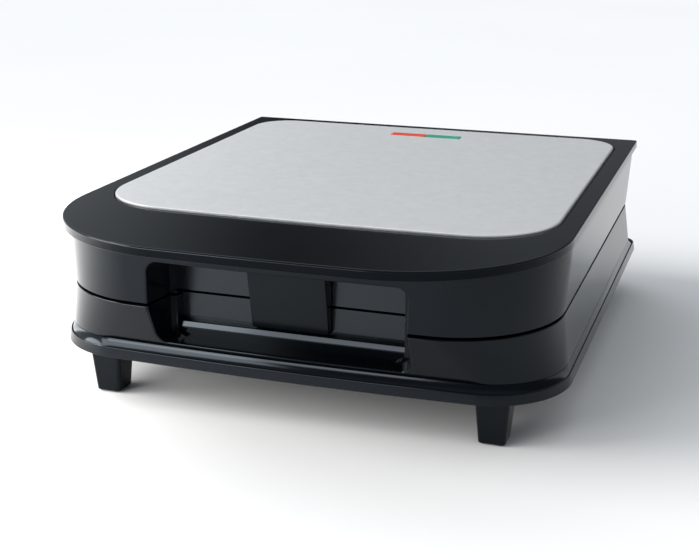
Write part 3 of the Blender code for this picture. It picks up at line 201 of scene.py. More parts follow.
# Clearance, and how finely rounds are divided
CLEARANCE = 0.0003
OVERRUN = 0.0020
BOW_STEPS = 8
CORNER_STEPS = 26
REAR_CORNER_STEPS = 10
ROUND_STEPS = 48
WALL_STEPS = 4
EDGE_STEPS = 4
RIM_EDGE_STEPS = 5
FRAME_EDGE_STEPS = 6
PANEL_EDGE_STEPS = 8
RECESS_CORNER_STEPS = 8
RECESS_SIDE_PARTS = 6
LIP_ANGLES = (0, 30, 50, 70, 90)
LEG_CORNER_STEPS = 6
LATCH_CORNER_STEPS = 5
POCKET_CORNER_STEPS = 8
BEVEL_STEPS = 3
LENS_EDGE_STEPS = 4

# Angles in degrees above which an edge is sharp, or is bevelled
SMOOTH_ANGLE = 30
PLATE_SMOOTH_ANGLE = 35
BEVEL_ANGLE = 40
LATCH_BEVEL_ANGLE = 50

# Camera: the photograph's own view
CAMERA_PLACE = (0.2319, REAR - 0.8756, 0.2748)
CAMERA_AZIMUTH = math.radians(18.979)
CAMERA_ELEVATION = math.radians(17.671)
CAMERA_LENS = 65.15
SENSOR_WIDTH = 36
CLIP_START = 0.05

# Studio: floor, world and lights
FLOOR_REACH = 60.0
FLOOR_DEPTH = 0.02
FLOOR_DARK = (0.865, 0.845, 0.825)
FLOOR_LIGHT = (0.885, 0.865, 0.845)
FLOOR_ROUGHNESS = 0.9
FLOOR_MOTTLE_SCALE = 2
WORLD_COLOUR = (0.86, 0.93, 1.0, 1.0)
DOME_STRENGTH = 0.52
REAR_LEFT_STRENGTH = 2.10
REAR_RIGHT_STRENGTH = 0.80
HORIZON_LEFT_STRENGTH = 0.40
HORIZON_RIGHT_STRENGTH = 0.20
LEFT_STRENGTH = 1.1
FLAG_STRENGTH = 0.06
FLAG_MIDDLE = -0.36
FLAG_REACH = 0.20

# Stretches of a direction's x, y or z over which one strength goes over into the next
LEFT_SPAN = (-0.62, -0.78)
REAR_SPAN = (-0.6, 0.1)
REAR_START = (0.0, 0.4)
DOME_START = (0.38, 0.60)

KEY_AZIMUTH = math.radians(72)
KEY_ELEVATION = math.radians(28)
KEY_STRENGTH = 3.2
KEY_WIDTH = math.radians(34)
WASH_SPREAD = math.radians(45)

AreaLight = namedtuple("AreaLight", "name place target width height power")
FRONT_STRIP = AreaLight("front_strip", (-0.62, -1.48, 0.26), (0, -0.15, 0.05), 0.95, 0.28, 6.4)
LEFT_BOX = AreaLight("left_box", (-0.68, -0.98, 0.38), (0, -0.15, 0.04), 0.60, 0.36, 5.6)
LEFT_WASH = AreaLight("left_wash", (-1.1, -0.15, 0.8), (-0.75, -0.15, 0), 0.6, 0.6, 10)

# Surface grain and reflections
TINT_START = 0.3
TINT_END = 0.7
MOTTLE_SCALE = 35
SMUDGE_SCALE = 18
SMUDGE_ROUGHNESS = 0.6
GRAIN_ROUGHNESS = 0.6
CLOUD_ROUGHNESS = 0.75
PLASTIC_GRAIN_DEPTH = 0.0002
METAL_GRAIN_DEPTH = 0.00005
LENS_MOTTLE_SCALE = 120
LENS_SMUDGE_SCALE = 60
LENS_COAT = 0.05
LENS_SPECULAR = 0.35
COOL_REFLECTION = (0.78, 0.89, 1.0, 1.0)

Plan = namedtuple("Plan", "half front rear front_radius rear_radius")


# Outlines


def inset(plan, distance):
    return Plan(
        plan.half - distance,
        plan.front + distance,
        plan.rear - distance,
        max(plan.front_radius - distance, FRAME_EDGE),
        max(plan.rear_radius - distance, FRAME_EDGE),
    )


def mix(first, second, share):
    return Plan(*(a + (b - a) * share for a, b in zip(first, second)))


def right_half(plan):
    """Points of the right half from the middle of the front to the middle of the rear."""
    bow = FRONT_BOW_RADIUS
    radius = plan.front_radius
    lean = math.asin((plan.half - radius) / (bow - radius))
    centre_x = plan.half - radius
    centre_y = plan.front + bow - (bow - radius) * math.cos(lean)
    points = []
    for step in range(BOW_STEPS):
        angle = lean * step / BOW_STEPS
        points.append((bow * math.sin(angle), plan.front + bow * (1 - math.cos(angle))))
    for step in range(CORNER_STEPS + 1):
        angle = lean + (math.pi / 2 - lean) * step / CORNER_STEPS
        points.append((centre_x + radius * math.sin(angle), centre_y - radius * math.cos(angle)))
    for step in range(REAR_CORNER_STEPS + 1):
        angle = math.pi / 2 * step / REAR_CORNER_STEPS
        x = plan.half - plan.rear_radius * (1 - math.cos(angle))
        points.append((x, plan.rear - plan.rear_radius * (1 - math.sin(angle))))
    return points


def ring(plan, height):
    right = right_half(plan)
    left = [(-x, y) for x, y in reversed(right[1:])]
    return [Vector((x, y, height)) for x, y in right + left]


FRAME_PLAN = Plan(FRAME_HALF, FRONT, REAR, FRAME_FRONT_RADIUS, FRAME_REAR_RADIUS)
WALL_TOP_PLAN = Plan(
    FRAME_HALF - LID_SIDE_STEP,
    FRONT + VISOR_REACH,
    REAR - WALL_REAR_SETBACK,
    WALL_FRONT_RADIUS,
    WALL_REAR_RADIUS,
)
SPLIT_PLAN = Plan(
    FRAME_HALF - LID_WALL_TAPER,
    WALL_TOP_PLAN.front - LID_FRONT_LEAN,
    WALL_TOP_PLAN.rear,
    WALL_FRONT_RADIUS,
    WALL_REAR_RADIUS,
)
FOOT_PLAN = Plan(
    SPLIT_PLAN.half + BASE_SIDE_FLARE,
    SPLIT_PLAN.front + BASE_FRONT_SLOPE,
    SPLIT_PLAN.rear + BASE_REAR_FLARE,
    FOOT_FRONT_RADIUS,
    WALL_REAR_RADIUS,
)
RIM_PLAN = Plan(
    FOOT_PLAN.half + RIM_OVERHANG,
    FOOT_PLAN.front - RIM_FRONT_OVERHANG,
    FOOT_PLAN.rear + RIM_REAR_OVERHANG,
    RIM_FRONT_RADIUS,
    RIM_REAR_RADIUS,
)
PANEL_PLAN = Plan(PANEL_HALF, PANEL_LOW.y, PANEL_HIGH.y, PANEL_FRONT_RADIUS, PANEL_REAR_RADIUS)
PLATE_PLAN = Plan(PLATE_HIGH.x, PLATE_LOW.y, PLATE_HIGH.y, PLATE_FRONT_RADIUS, PLATE_REAR_RADIUS)
WINDOW_PLAN = inset(PANEL_PLAN, -WINDOW_GAP)
PLATE_WINDOW = inset(PLATE_PLAN, -PLATE_SIDE_GAP)
PLATE_MIDDLE = (PLATE_LOW.y + PLATE_HIGH.y) / 2
RECESS_BACK = SPLIT_PLAN.front + RECESS_DEPTH


# Meshes


def mesh_object(name, bm, material=None):
    bmesh.ops.recalc_face_normals(bm, faces=bm.faces)
    mesh = bpy.data.meshes.new(name)
    bm.to_mesh(mesh)
    bm.free()
    obj = bpy.data.objects.new(name, mesh)
    bpy.context.scene.collection.objects.link(obj)
    mesh.shade_smooth()
    mesh.set_sharp_from_angle(angle=math.radians(SMOOTH_ANGLE))
    if material is not None:
        mesh.materials.append(material)
    return obj


def apply_modifiers(obj):
    graph = bpy.context.evaluated_depsgraph_get()
    mesh = bpy.data.meshes.new_from_object(obj.evaluated_get(graph), depsgraph=graph)
    obj.modifiers.clear()
    obj.data = mesh
    return obj


def combine(obj, others, operation):
    """Joins or cuts with each other shape in turn, and removes the shapes used."""
    for other in others:
        modifier = obj.modifiers.new("combine", "BOOLEAN")
        modifier.operation = operation
        modifier.solver = "EXACT"
        modifier.object = other
    apply_modifiers(obj)
    for other in others:
        bpy.data.objects.remove(other)
    return obj


def bevel(obj, width, segments=BEVEL_STEPS, angle=BEVEL_ANGLE):
    modifier = obj.modifiers.new("edges", "BEVEL")
    modifier.width = width
    modifier.segments = segments
    modifier.limit_method = "ANGLE"
    modifier.angle_limit = math.radians(angle)
    modifier.harden_normals = False
    return apply_modifiers(obj)


def shade(obj, angle=SMOOTH_ANGLE):
    """Smooth rounds with true flats between them."""
    obj.data.shade_smooth()
    obj.data.set_sharp_from_angle(angle=math.radians(angle))
    modifier = obj.modifiers.new("flats", "WEIGHTED_NORMAL")
    modifier.weight = 100
    modifier.keep_sharp = True
    return apply_modifiers(obj)


def loft(rings, looped=False):
    bm = bmesh.new()
    rows = [[bm.verts.new(point) for point in points] for points in rings]
    pairs = list(zip(rows, rows[1:]))
    if looped:
        pairs.append((rows[-1], rows[0]))
    else:
        bm.faces.new(rows[0])
        bm.faces.new(rows[-1])
    for lower, upper in pairs:
        for index in range(len(lower)):
            after = (index + 1) % len(lower)
            bm.faces.new((lower[index], lower[after], upper[after], upper[index]))
    return bm


def in_triangles(bm):
    """Splits the sides and leaves the two flat ends whole."""
    bmesh.ops.triangulate(bm, faces=[face for face in bm.faces if len(face.verts) == 4])
    return bm


def box(low, high):
    bm = bmesh.new()
    bmesh.ops.create_cube(bm, size=1)
    bmesh.ops.scale(bm, vec=[b - a for a, b in zip(low, high)], verts=bm.verts)
    bmesh.ops.translate(bm, vec=[(a + b) / 2 for a, b in zip(low, high)], verts=bm.verts)
    return bm


def rod(radius, start, end, steps=ROUND_STEPS):
    start = Vector(start)
    end = Vector(end)
    bm = bmesh.new()
    length = (end - start).length
    bmesh.ops.create_cone(bm, cap_ends=True, segments=steps, radius1=radius, radius2=radius, depth=length)
    turn = Vector((0, 0, 1)).rotation_difference(end - start).to_matrix().to_4x4()
    bmesh.ops.transform(bm, matrix=Matrix.Translation((start + end) / 2) @ turn, verts=bm.verts)
    return bm


def rounded_polygon(corners, radii, steps):
    points = []
    for index, corner in enumerate(corners):
        corner = Vector(corner)
        before = (Vector(corners[index - 1]) - corner).normalized()
        after = (Vector(corners[(index + 1) % len(corners)]) - corner).normalized()
        half_angle = before.angle(after) / 2
        centre = corner + (before + after).normalized() * (radii[index] / math.sin(half_angle))
        start = corner + before * (radii[index] / math.tan(half_angle)) - centre
        end = corner + after * (radii[index] / math.tan(half_angle)) - centre
        turn = math.atan2(start.x * end.y - start.y * end.x, start.dot(end))
        for step in range(steps + 1):
            points.append(centre + Matrix.Rotation(turn * step / steps, 2) @ start)
    return points


def shrink_polygon(corners, distance):
    """A convex anticlockwise outline with each side moved in by a distance."""
    moved = []
    for index, corner in enumerate(corners):
        corner = Vector(corner)
        before = (corner - Vector(corners[index - 1])).normalized()
        after = (Vector(corners[(index + 1) % len(corners)]) - corner).normalized()
        inward = Vector((-before.y, before.x))
        bisector = (inward + Vector((-after.y, after.x))).normalized()
        moved.append(corner + bisector * (distance / bisector.dot(inward)))
    return moved


def arc_rows(outer, radius, height, start, end, steps):
    """Rings round an edge, swung from one angle to another, which touch the outer plan at 0 degrees."""
    rows = []
    for step in range(steps + 1):
        angle = math.radians(start + (end - start) * step / steps)
        rows.append(ring(inset(outer, radius * (1 - math.cos(angle))), height + radius * math.sin(angle)))
    return rows


# Recess


def wall_front(x, z):
    """Y of the front wall's outer face at a place on it."""
    if z > SPLIT_HEIGHT:
        share = (z - LID_BOTTOM) / (FRAME_TOP - FRAME_THICKNESS - COVE - LID_BOTTOM)
        front = SPLIT_PLAN.front + (WALL_TOP_PLAN.front - SPLIT_PLAN.front) * share
    else:
        share = (BASE_TOP - z) / (BASE_TOP - FOOT_HEIGHT)
        front = SPLIT_PLAN.front + (FOOT_PLAN.front - SPLIT_PLAN.front) * share
    return front + FRONT_BOW_RADIUS - math.sqrt(FRONT_BOW_RADIUS ** 2 - x ** 2)


def recess_outline(share, grow, low=None, high=None, narrow=0.0):
    """The recess seen from the front, at a share of its depth."""
    half = RECESS_WIDTH / 2 - RECESS_DRAFT * share + grow - narrow
    bottom = RECESS_FLOOR - grow if low is None else low
    top = RECESS_TOP + grow if high is None else high
    radius = RECESS_RADIUS + grow
    corners = [(-half, bottom), (half, bottom), (half, top), (-half, top)]
    radii = [radius if low is None else SHELL_EDGE] * 2 + [radius if high is None else SHELL_EDGE] * 2
    return rounded_polygon(corners, radii, RECESS_CORNER_STEPS)


def with_sides(points):
    """The outline with its long sides divided, so that it can follow a bowed wall."""
    divided = []
    for index, point in enumerate(points):
        after = points[(index + 1) % len(points)]
        divided.append(point)
        if (after - point).length > RECESS_RADIUS:
            for part in range(1, RECESS_SIDE_PARTS):
                divided.append(point.lerp(after, part / RECESS_SIDE_PARTS))
    return divided


def recess_cutter():
    """The recess, with a rounded lip at its mouth that follows the walls and a narrower back."""
    mouth = with_sides(recess_outline(0, RECESS_LIP))
    rings = [[Vector((p.x, SPLIT_PLAN.front - VISOR_REACH / 3, p.y)) for p in mouth]]
    for angle in LIP_ANGLES:
        depth = RECESS_LIP * (1 - math.cos(math.radians(angle)))
        covered = RECESS_LIP - depth
        grow = RECESS_LIP - math.sqrt(RECESS_LIP ** 2 - covered ** 2)
        points = with_sides(recess_outline(0, grow))
        rings.append([Vector((p.x, wall_front(p.x, p.y) + depth, p.y)) for p in points])
    jamb = RECESS_BACK - JAMB_DEPTH
    share = (RECESS_DEPTH - JAMB_DEPTH) / RECESS_DEPTH
    front = with_sides(recess_outline(share, 0))
    back = with_sides(recess_outline(share, -JAMB_RELIEF, narrow=JAMB_WIDTH))
    for points, y in ((front, jamb), (back, jamb), (back, RECESS_BACK)):
        rings.append([Vector((p.x, y, p.y)) for p in points])
    return mesh_object("recess_cutter", in_triangles(loft(rings)))


def recess_block(low, high):
    """The solid that the recess is cut from, kept behind the wall's outer face."""
    front = with_sides(recess_outline(0, RECESS_WALL, low, high))
    back = with_sides(recess_outline(1, RECESS_WALL, low, high))
    rings = [
        [Vector((p.x, wall_front(p.x, p.y) + WALL / 2, p.y)) for p in front],
        [Vector((p.x, RECESS_BACK + RECESS_WALL, p.y)) for p in back],
    ]
    return mesh_object("block", in_triangles(loft(rings)))


def on_hinge(x):
    return (x, HINGE_Y, SPLIT_HEIGHT)


def hinge_lobe(name, low_x, high_x, web_low, web_high):
    """A barrel round the hinge's axis with the web that carries it."""
    barrel = mesh_object(name, rod(BARREL_RADIUS, on_hinge(low_x), on_hinge(high_x)))
    web_front = REAR - WALL_REAR_SETBACK - WALL / 2
    web = mesh_object(name + "_web", box((low_x, web_front, web_low), (high_x, HINGE_Y, web_high)))
    return combine(barrel, [web], "UNION")


def hinge_bore(side):
    middle = side * HINGE_SPACING / 2
    bore = rod(PIN_RADIUS, on_hinge(middle - KNUCKLE_LENGTH), on_hinge(middle + KNUCKLE_LENGTH))
    return mesh_object("hinge_bore", bore)


def deck_rings(deck, sign):
    """The deck round a plate's opening and its ledge; the sign is 1 in the lid and -1 in the base."""
    ledge = deck + sign * LEDGE_DROP
    edge = inset(PLATE_WINDOW, LEDGE_WIDTH)
    skirt = inset(PLATE_WINDOW, -WALL)
    return [
        ring(PLATE_WINDOW, deck),
        ring(PLATE_WINDOW, ledge),
        ring(edge, ledge),
        ring(edge, ledge + sign * LEDGE_THICKNESS),
        ring(skirt, ledge + sign * LEDGE_THICKNESS),
        ring(skirt, deck + sign * WALL),
        ring(inset(SPLIT_PLAN, WALL), deck + sign * WALL),
    ]


def arc_between(first, second, first_height, second_height, steps):
    """Rings on a quarter round from under one outline down to another."""
    rows = []
    for step in range(steps + 1):
        angle = math.pi / 2 * step / steps
        height = first_height + (second_height - first_height) * (1 - math.cos(angle))
        rows.append(ring(mix(first, second, math.sin(angle)), height))
    return rows


def on_recess_back(face):
    return abs(face.center.y - RECESS_BACK) < JAMB_RELIEF and abs(face.center.x) < RECESS_WIDTH / 2


def on_lip(face):
    upright = abs(face.normal.z) < LIP_SLANT
    return upright and FRAME_TOP - FRAME_THICKNESS < face.center.z < FRAME_TOP - FRAME_EDGE


def give_painted_copy(shell, copy_key, chosen):
    """Gives the faces that a test picks a material of their own: a copy of the black with painted sheen or painted
    shade.
    """
    shell.data.materials.append(FINISHES[copy_key])
    for face in shell.data.polygons:
        if chosen(face):
            face.material_index = len(shell.data.materials) - 1


def make_lid_shell(material, recess):
    underside = FRAME_TOP - SEAT_DEPTH - SEAT_THICKNESS
    lip_bottom = FRAME_TOP - FRAME_THICKNESS
    seat = inset(WINDOW_PLAN, SEAT_WIDTH)
    cove_start = mix(FRAME_PLAN, WALL_TOP_PLAN, 1 - COVE / VISOR_REACH)
    rings = [
        ring(seat, underside),
        ring(seat, FRAME_TOP - SEAT_DEPTH),
        ring(WINDOW_PLAN, FRAME_TOP - SEAT_DEPTH),
        ring(WINDOW_PLAN, FRAME_TOP - FRAME_EDGE / 2),
        ring(inset(WINDOW_PLAN, -FRAME_EDGE / 5), FRAME_TOP - FRAME_EDGE / 5),
        ring(inset(WINDOW_PLAN, -FRAME_EDGE / 2), FRAME_TOP),
    ]
    rings += arc_rows(FRAME_PLAN, FRAME_EDGE, FRAME_TOP - FRAME_EDGE, 90, 0, FRAME_EDGE_STEPS)
    rings += arc_rows(FRAME_PLAN, FRAME_EDGE / 2, lip_bottom + FRAME_EDGE / 2, 0, -90, EDGE_STEPS)
    cove_top = lip_bottom - FRAME_EDGE / 8
    rings += arc_between(cove_start, WALL_TOP_PLAN, cove_top, lip_bottom - COVE, FRAME_EDGE_STEPS)
    for step in range(1, WALL_STEPS):
        share = step / WALL_STEPS
        height = lip_bottom - COVE + (LID_BOTTOM - lip_bottom + COVE) * share
        rings.append(ring(mix(WALL_TOP_PLAN, SPLIT_PLAN, share), height))
    rings += arc_rows(SPLIT_PLAN, SHELL_EDGE, LID_BOTTOM + SHELL_EDGE, 0, -90, EDGE_STEPS)
    rings += deck_rings(LID_BOTTOM, 1)
    rings.append(ring(inset(WALL_TOP_PLAN, WALL), underside))
    shell = mesh_object("lid_shell", loft(rings, looped=True), material)
    combine(shell, [recess_block(LID_BOTTOM + WALL / 2, None)], "UNION")
    tongue_left = (-TONGUE_HALF, PIVOT_Y, PIVOT_HEIGHT)
    tongue_right = (TONGUE_HALF, PIVOT_Y, PIVOT_HEIGHT)
    tongue = mesh_object("tongue", rod(TONGUE_RADIUS, tongue_left, tongue_right, TONGUE_STEPS))
    root_low = (-TONGUE_HALF, PIVOT_Y, PIVOT_HEIGHT - TONGUE_RADIUS)
    root_high = (TONGUE_HALF, RECESS_BACK + RECESS_WALL / 2, PIVOT_HEIGHT + TONGUE_RADIUS)
    combine(tongue, [mesh_object("root", box(root_low, root_high))], "UNION")
    lobes = []
    for side in (-1, 1):
        low_x = side * HINGE_SPACING / 2 - KNUCKLE_LENGTH / 2
        high_x = side * HINGE_SPACING / 2 + KNUCKLE_LENGTH / 2
        web_low = LID_BOTTOM + SHELL_EDGE
        lobes.append(hinge_lobe("knuckle", low_x, high_x, web_low, web_low + HINGE_WEB_HEIGHT))
    combine(shell, [recess], "DIFFERENCE")
    combine(shell, [tongue] + lobes, "UNION")
    combine(shell, [hinge_bore(-1), hinge_bore(1)], "DIFFERENCE")
    # Painted sheen: the recess back gets a satin copy of the black with a lighter base colour and a stronger
    # reflection.
    give_painted_copy(shell, "satin_back", on_recess_back)
    # Painted shade: the lip's face gets a copy of the gloss black with a weaker reflection, so that it reads
    # darker.
    give_painted_copy(shell, "dark_lip", on_lip)
    return shade(shell)


def make_base_shell(material, recess):
    rings = arc_rows(SPLIT_PLAN, SHELL_EDGE, BASE_TOP - SHELL_EDGE, 0, 90, EDGE_STEPS)
    rings += deck_rings(BASE_TOP, -1)
    rings += [ring(inset(FOOT_PLAN, WALL), FOOT_HEIGHT), ring(FOOT_PLAN, FOOT_HEIGHT)]
    for step in reversed(range(1, WALL_STEPS)):
        share = step / WALL_STEPS
        height = BASE_TOP - SHELL_EDGE + (FOOT_HEIGHT - BASE_TOP + SHELL_EDGE) * share
        rings.append(ring(mix(SPLIT_PLAN, FOOT_PLAN, share), height))
    shell = mesh_object("base_shell", loft(rings, looped=True), material)
    combine(shell, [recess_block(None, BASE_TOP - WALL / 2)], "UNION")
    combine(shell, [recess], "DIFFERENCE")
    low = RECESS_FLOOR - RECESS_WALL / 2
    front = RECESS_BACK - STEP_DEPTH
    back = RECESS_BACK + RECESS_WALL / 2
    profile = [
        (back, low),
        (front, low),
        (front, STEP_HEIGHT - STEP_SLOPE_HEIGHT),
        (front + STEP_SLOPE_RUN, STEP_HEIGHT),
        (back, STEP_HEIGHT),
    ]
    ends = [[Vector((x, y, z)) for y, z in profile] for x in (-RECESS_WIDTH / 2, RECESS_WIDTH / 2)]
    step = mesh_object("recess_step", loft(ends))
    bevel(step, STEP_EDGE)
    lobes = []
    for side in (-1, 1):
        for end in (-1, 1):
            inner = side * HINGE_SPACING / 2 + end * (KNUCKLE_LENGTH / 2 + CLEARANCE)
            outer = inner + end * EAR_LENGTH
            low_x, high_x = min(inner, outer), max(inner, outer)
            web_high = BASE_TOP - SHELL_EDGE
            lobes.append(hinge_lobe("ear", low_x, high_x, web_high - HINGE_WEB_HEIGHT, web_high))
    combine(shell, [step] + lobes, "UNION")
    inlet_x = (INLET_LOW.x + INLET_HIGH.x) / 2
    inlet_z = (INLET_LOW.z + INLET_HIGH.z) / 2
    inlet_front = (inlet_x, REAR - WALL_REAR_RADIUS, inlet_z)
    hole = rod(INLET_HOLE_RADIUS, inlet_front, (inlet_x, REAR + OVERRUN, inlet_z))
    combine(shell, [hinge_bore(-1), hinge_bore(1), mesh_object("hole", hole)], "DIFFERENCE")
    # Painted sheen: the recess back gets a satin copy of the black with a lighter base colour and a stronger
    # reflection.
    give_painted_copy(shell, "satin_back", on_recess_back)
    return shade(shell)


def leg_places():
    front_y = (PAD_LOW.y + PAD_HIGH.y) / 2
    rear_y = (REAR_PAD_LOW.y + REAR_PAD_HIGH.y) / 2
    x = (PAD_LOW.x + PAD_HIGH.x) / 2
    return [(-x, front_y), (x, front_y), (-x, rear_y), (x, rear_y)]


def leg_section(width, depth, x, y, height, shrink=0.0):
    half_x = width / 2 - shrink
    half_y = depth / 2 - shrink
    corners = [(-half_x, -half_y), (half_x, -half_y), (half_x, half_y), (-half_x, half_y)]
    outline = rounded_polygon(corners, [LEG_RADIUS - shrink / 2] * 4, LEG_CORNER_STEPS)
    return [Vector((x + p.x, y + p.y, height)) for p in outline]


def make_tray_shell(material):
    rim_bottom = inset(RIM_PLAN, -RIM_FLARE)
    floor_top = TRAY_FLOOR_HEIGHT + TRAY_FLOOR
    seat = FOOT_HEIGHT - CLEARANCE
    flat_end = mix(RIM_PLAN, FOOT_PLAN, COVE_FOOT_SHARE)
    rings = [
        ring(inset(rim_bottom, RIM_WALL), TRAY_FLOOR_HEIGHT),
        ring(inset(rim_bottom, RIM_WALL), RIM_BOTTOM),
    ]
    rings += arc_rows(rim_bottom, RIM_EDGE, RIM_BOTTOM + RIM_EDGE, -90, 0, EDGE_STEPS)
    rings += arc_rows(RIM_PLAN, RIM_EDGE, RIM_TOP - RIM_EDGE, 0, 90, RIM_EDGE_STEPS)
    foot = RIM_TOP - RIM_EDGE / 2
    for step in range(COVE_STEPS + 1):
        share = step / COVE_STEPS
        inward = share + COVE_CURVE_SHARE * share * (1 - share)
        rings.append(ring(mix(flat_end, FOOT_PLAN, inward), foot + (seat - foot) * share))
    rings += [
        ring(inset(FOOT_PLAN, SEAT_INWARD), seat),
        ring(inset(FOOT_PLAN, SEAT_INWARD), floor_top),
    ]
    tray = mesh_object("tray_shell", loft(rings), material)
    legs = []
    for x, y in leg_places():
        rows = []
        for step in range(EDGE_STEPS + 1):
            angle = math.pi / 2 * step / EDGE_STEPS
            shrink = LEG_EDGE * (1 - math.sin(angle))
            height = PAD_DROP + LEG_EDGE * (1 - math.cos(angle))
            rows.append(leg_section(LEG_BOTTOM_WIDTH, LEG_BOTTOM_DEPTH, x, y, height, shrink))
        rows.append(leg_section(LEG_TOP_WIDTH, LEG_TOP_DEPTH, x, y, TRAY_FLOOR_HEIGHT + TRAY_FLOOR / 2))
        legs.append(mesh_object("leg", loft(rows)))
    combine(tray, legs, "UNION")
    pockets = []
    half_x = (PAD_HIGH.x - PAD_LOW.x) / 2 + PAD_GAP
    half_y = (PAD_HIGH.y - PAD_LOW.y) / 2 + PAD_GAP
    for x, y in leg_places():
        low = (x - half_x, y - half_y, PAD_DROP - OVERRUN)
        pockets.append(mesh_object("pocket", box(low, (x + half_x, y + half_y, PAD_DEPTH))))
    combine(tray, pockets, "DIFFERENCE")
    return shade(tray)


def make_panel(material):
    top = PANEL_HIGH.z
    foot = PANEL_LOW.z
    rings = [
        ring(inset(PANEL_PLAN, PANEL_EDGE), top - PANEL_SHEET),
        ring(inset(PANEL_PLAN, PANEL_SHEET), top - PANEL_EDGE - PANEL_SHEET),
        ring(inset(PANEL_PLAN, PANEL_SHEET), foot),
        ring(PANEL_PLAN, foot),
    ]
    rings += arc_rows(PANEL_PLAN, PANEL_EDGE, top - PANEL_EDGE, 0, 90, PANEL_EDGE_STEPS)
    panel = mesh_object("steel_panel", loft(rings), material)
    red_low, red_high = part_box("indicator_lens_red")
    green_low, green_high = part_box("indicator_lens_green")
    low = (red_low.x - CLEARANCE, red_low.y - CLEARANCE, foot)
    high = (green_high.x + CLEARANCE, red_high.y + CLEARANCE, top + OVERRUN)
    combine(panel, [mesh_object("slot", box(low, high))], "DIFFERENCE")
    return shade(panel)


def make_lens(name, node_name, material):
    low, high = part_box(node_name)
    lens = mesh_object(name, box(low, high), material)
    bevel(lens, LENS_EDGE, LENS_EDGE_STEPS)
    return shade(lens)


def make_latch(material):
    """The block leans outwards to its head and is hollowed behind for the tongue that it turns on."""
    back = RECESS_BACK - LATCH_BACK_GAP
    low, high = LATCH_LOW, LATCH_HIGH
    rows = []
    for step in range(LATCH_STEPS + 1):
        share = step / LATCH_STEPS
        z = low.z + (high.z - low.z) * share
        front = RECESS_BACK - LATCH_BOTTOM_REACH - (LATCH_TOP_REACH - LATCH_BOTTOM_REACH) * share
        head_share = max(share - LATCH_HEAD_START_SHARE, 0) / (1 - LATCH_HEAD_START_SHARE)
        rear = back - LATCH_HEAD_RELIEF * head_share
        corners = [(-LATCH_HALF, front), (LATCH_HALF, front), (LATCH_HALF, rear), (-LATCH_HALF, rear)]
        outline = rounded_polygon(corners, [LATCH_EDGE] * 4, LATCH_CORNER_STEPS)
        rows.append([Vector((p.x, p.y, z)) for p in outline])
    latch = mesh_object("latch_block", loft(rows), material)
    bevel(latch, LATCH_END_EDGE, angle=LATCH_BEVEL_ANGLE)
    slot_front = PIVOT_Y - TONGUE_RADIUS - CLEARANCE * 2
    slot_bottom = PIVOT_HEIGHT - TONGUE_RADIUS - CLEARANCE * 3
    slot_low = (-TONGUE_SLOT / 2, slot_front, slot_bottom)
    slot_high = (TONGUE_SLOT / 2, RECESS_BACK + OVERRUN, high.z + OVERRUN)
    combine(latch, [mesh_object("slot", box(slot_low, slot_high))], "DIFFERENCE")
    return shade(latch)


# Plates


def pocket_triangles():
    """Corners of the eight pockets, two to a cell, measured from the plate's middle."""
    half_x = PLATE_HIGH.x - CELL_MARGIN
    half_y = (PLATE_HIGH.y - PLATE_LOW.y) / 2 - CELL_MARGIN
    triangles = []
    for sx in (-1, 1):
        for sy in (-1, 1):
            for first, second in (((half_x, 0), (half_x, half_y)), ((half_x, half_y), (0, half_y))):
                corners = [Vector((sx * x, sy * y)) for x, y in ((0, 0), first, second)]
                if sx * sy < 0:
                    corners.reverse()
                triangles.append(shrink_polygon(corners, RIDGE_WIDTH / 2))
    return triangles


def pocket_rows(corners, face, sign):
    """One pocket's rings, from above the face down its quarter-round wall to its floor."""
    radii = []
    for index, corner in enumerate(corners):
        before = corners[index - 1] - corner
        after = corners[(index + 1) % 3] - corner
        radii.append(POCKET_TIP_RADIUS if before.angle(after) < POCKET_TIP_ANGLE else POCKET_RADIUS)
    profile = [
        (-POCKET_LIP, -OVERRUN),
        (-POCKET_LIP, 0),
        (-POCKET_LIP / 3, POCKET_LIP / 6),
        (0, POCKET_LIP * 5 / 6),
    ]
    for step in range(1, POCKET_STEPS + 1):
        angle = math.pi / 2 * step / POCKET_STEPS
        profile.append((POCKET_DRAFT * (1 - math.cos(angle)), POCKET_DEPTH * math.sin(angle)))
    rows = []
    for inward, depth in profile:
        points = rounded_polygon(shrink_polygon(corners, inward), radii, POCKET_CORNER_STEPS)
        rows.append([Vector((p.x, PLATE_MIDDLE + p.y, face - sign * depth)) for p in points])
    return rows


def make_plate(name, material, face, sign):
    """A cooking plate; the sign is 1 where its face looks up and -1 where it looks down."""
    rings = []
    for step in range(EDGE_STEPS + 1):
        angle = math.pi / 2 * (1 - step / EDGE_STEPS)
        plan = inset(PLATE_PLAN, PLATE_EDGE * (1 - math.cos(angle)))
        rings.append(ring(plan, face - sign * PLATE_EDGE * (1 - math.sin(angle))))
    rings += [
        ring(PLATE_PLAN, face - sign * PLATE_SKIRT),
        ring(inset(PLATE_PLAN, PLATE_SKIRT_WALL), face - sign * PLATE_SKIRT),
        ring(inset(PLATE_PLAN, PLATE_SKIRT_WALL), face - sign * (POCKET_DEPTH + WALL / 2)),
    ]
    plate = mesh_object(name, loft(rings), material)
    pockets = []
    for corners in pocket_triangles():
        pockets.append(mesh_object("pocket", loft(pocket_rows(corners, face, sign))))
    combine(plate, pockets, "DIFFERENCE")
    return shade(plate, PLATE_SMOOTH_ANGLE)


# Finishes


def new_material(name):
    material = bpy.data.materials.new(name)
    material.use_nodes = True
    tree = material.node_tree
    shader = tree.nodes["Principled BSDF"]
    return material, tree, shader


def node(tree, kind, **settings):
    made = tree.nodes.new(kind)
    for key, value in settings.items():
        setattr(made, key, value)
    return made


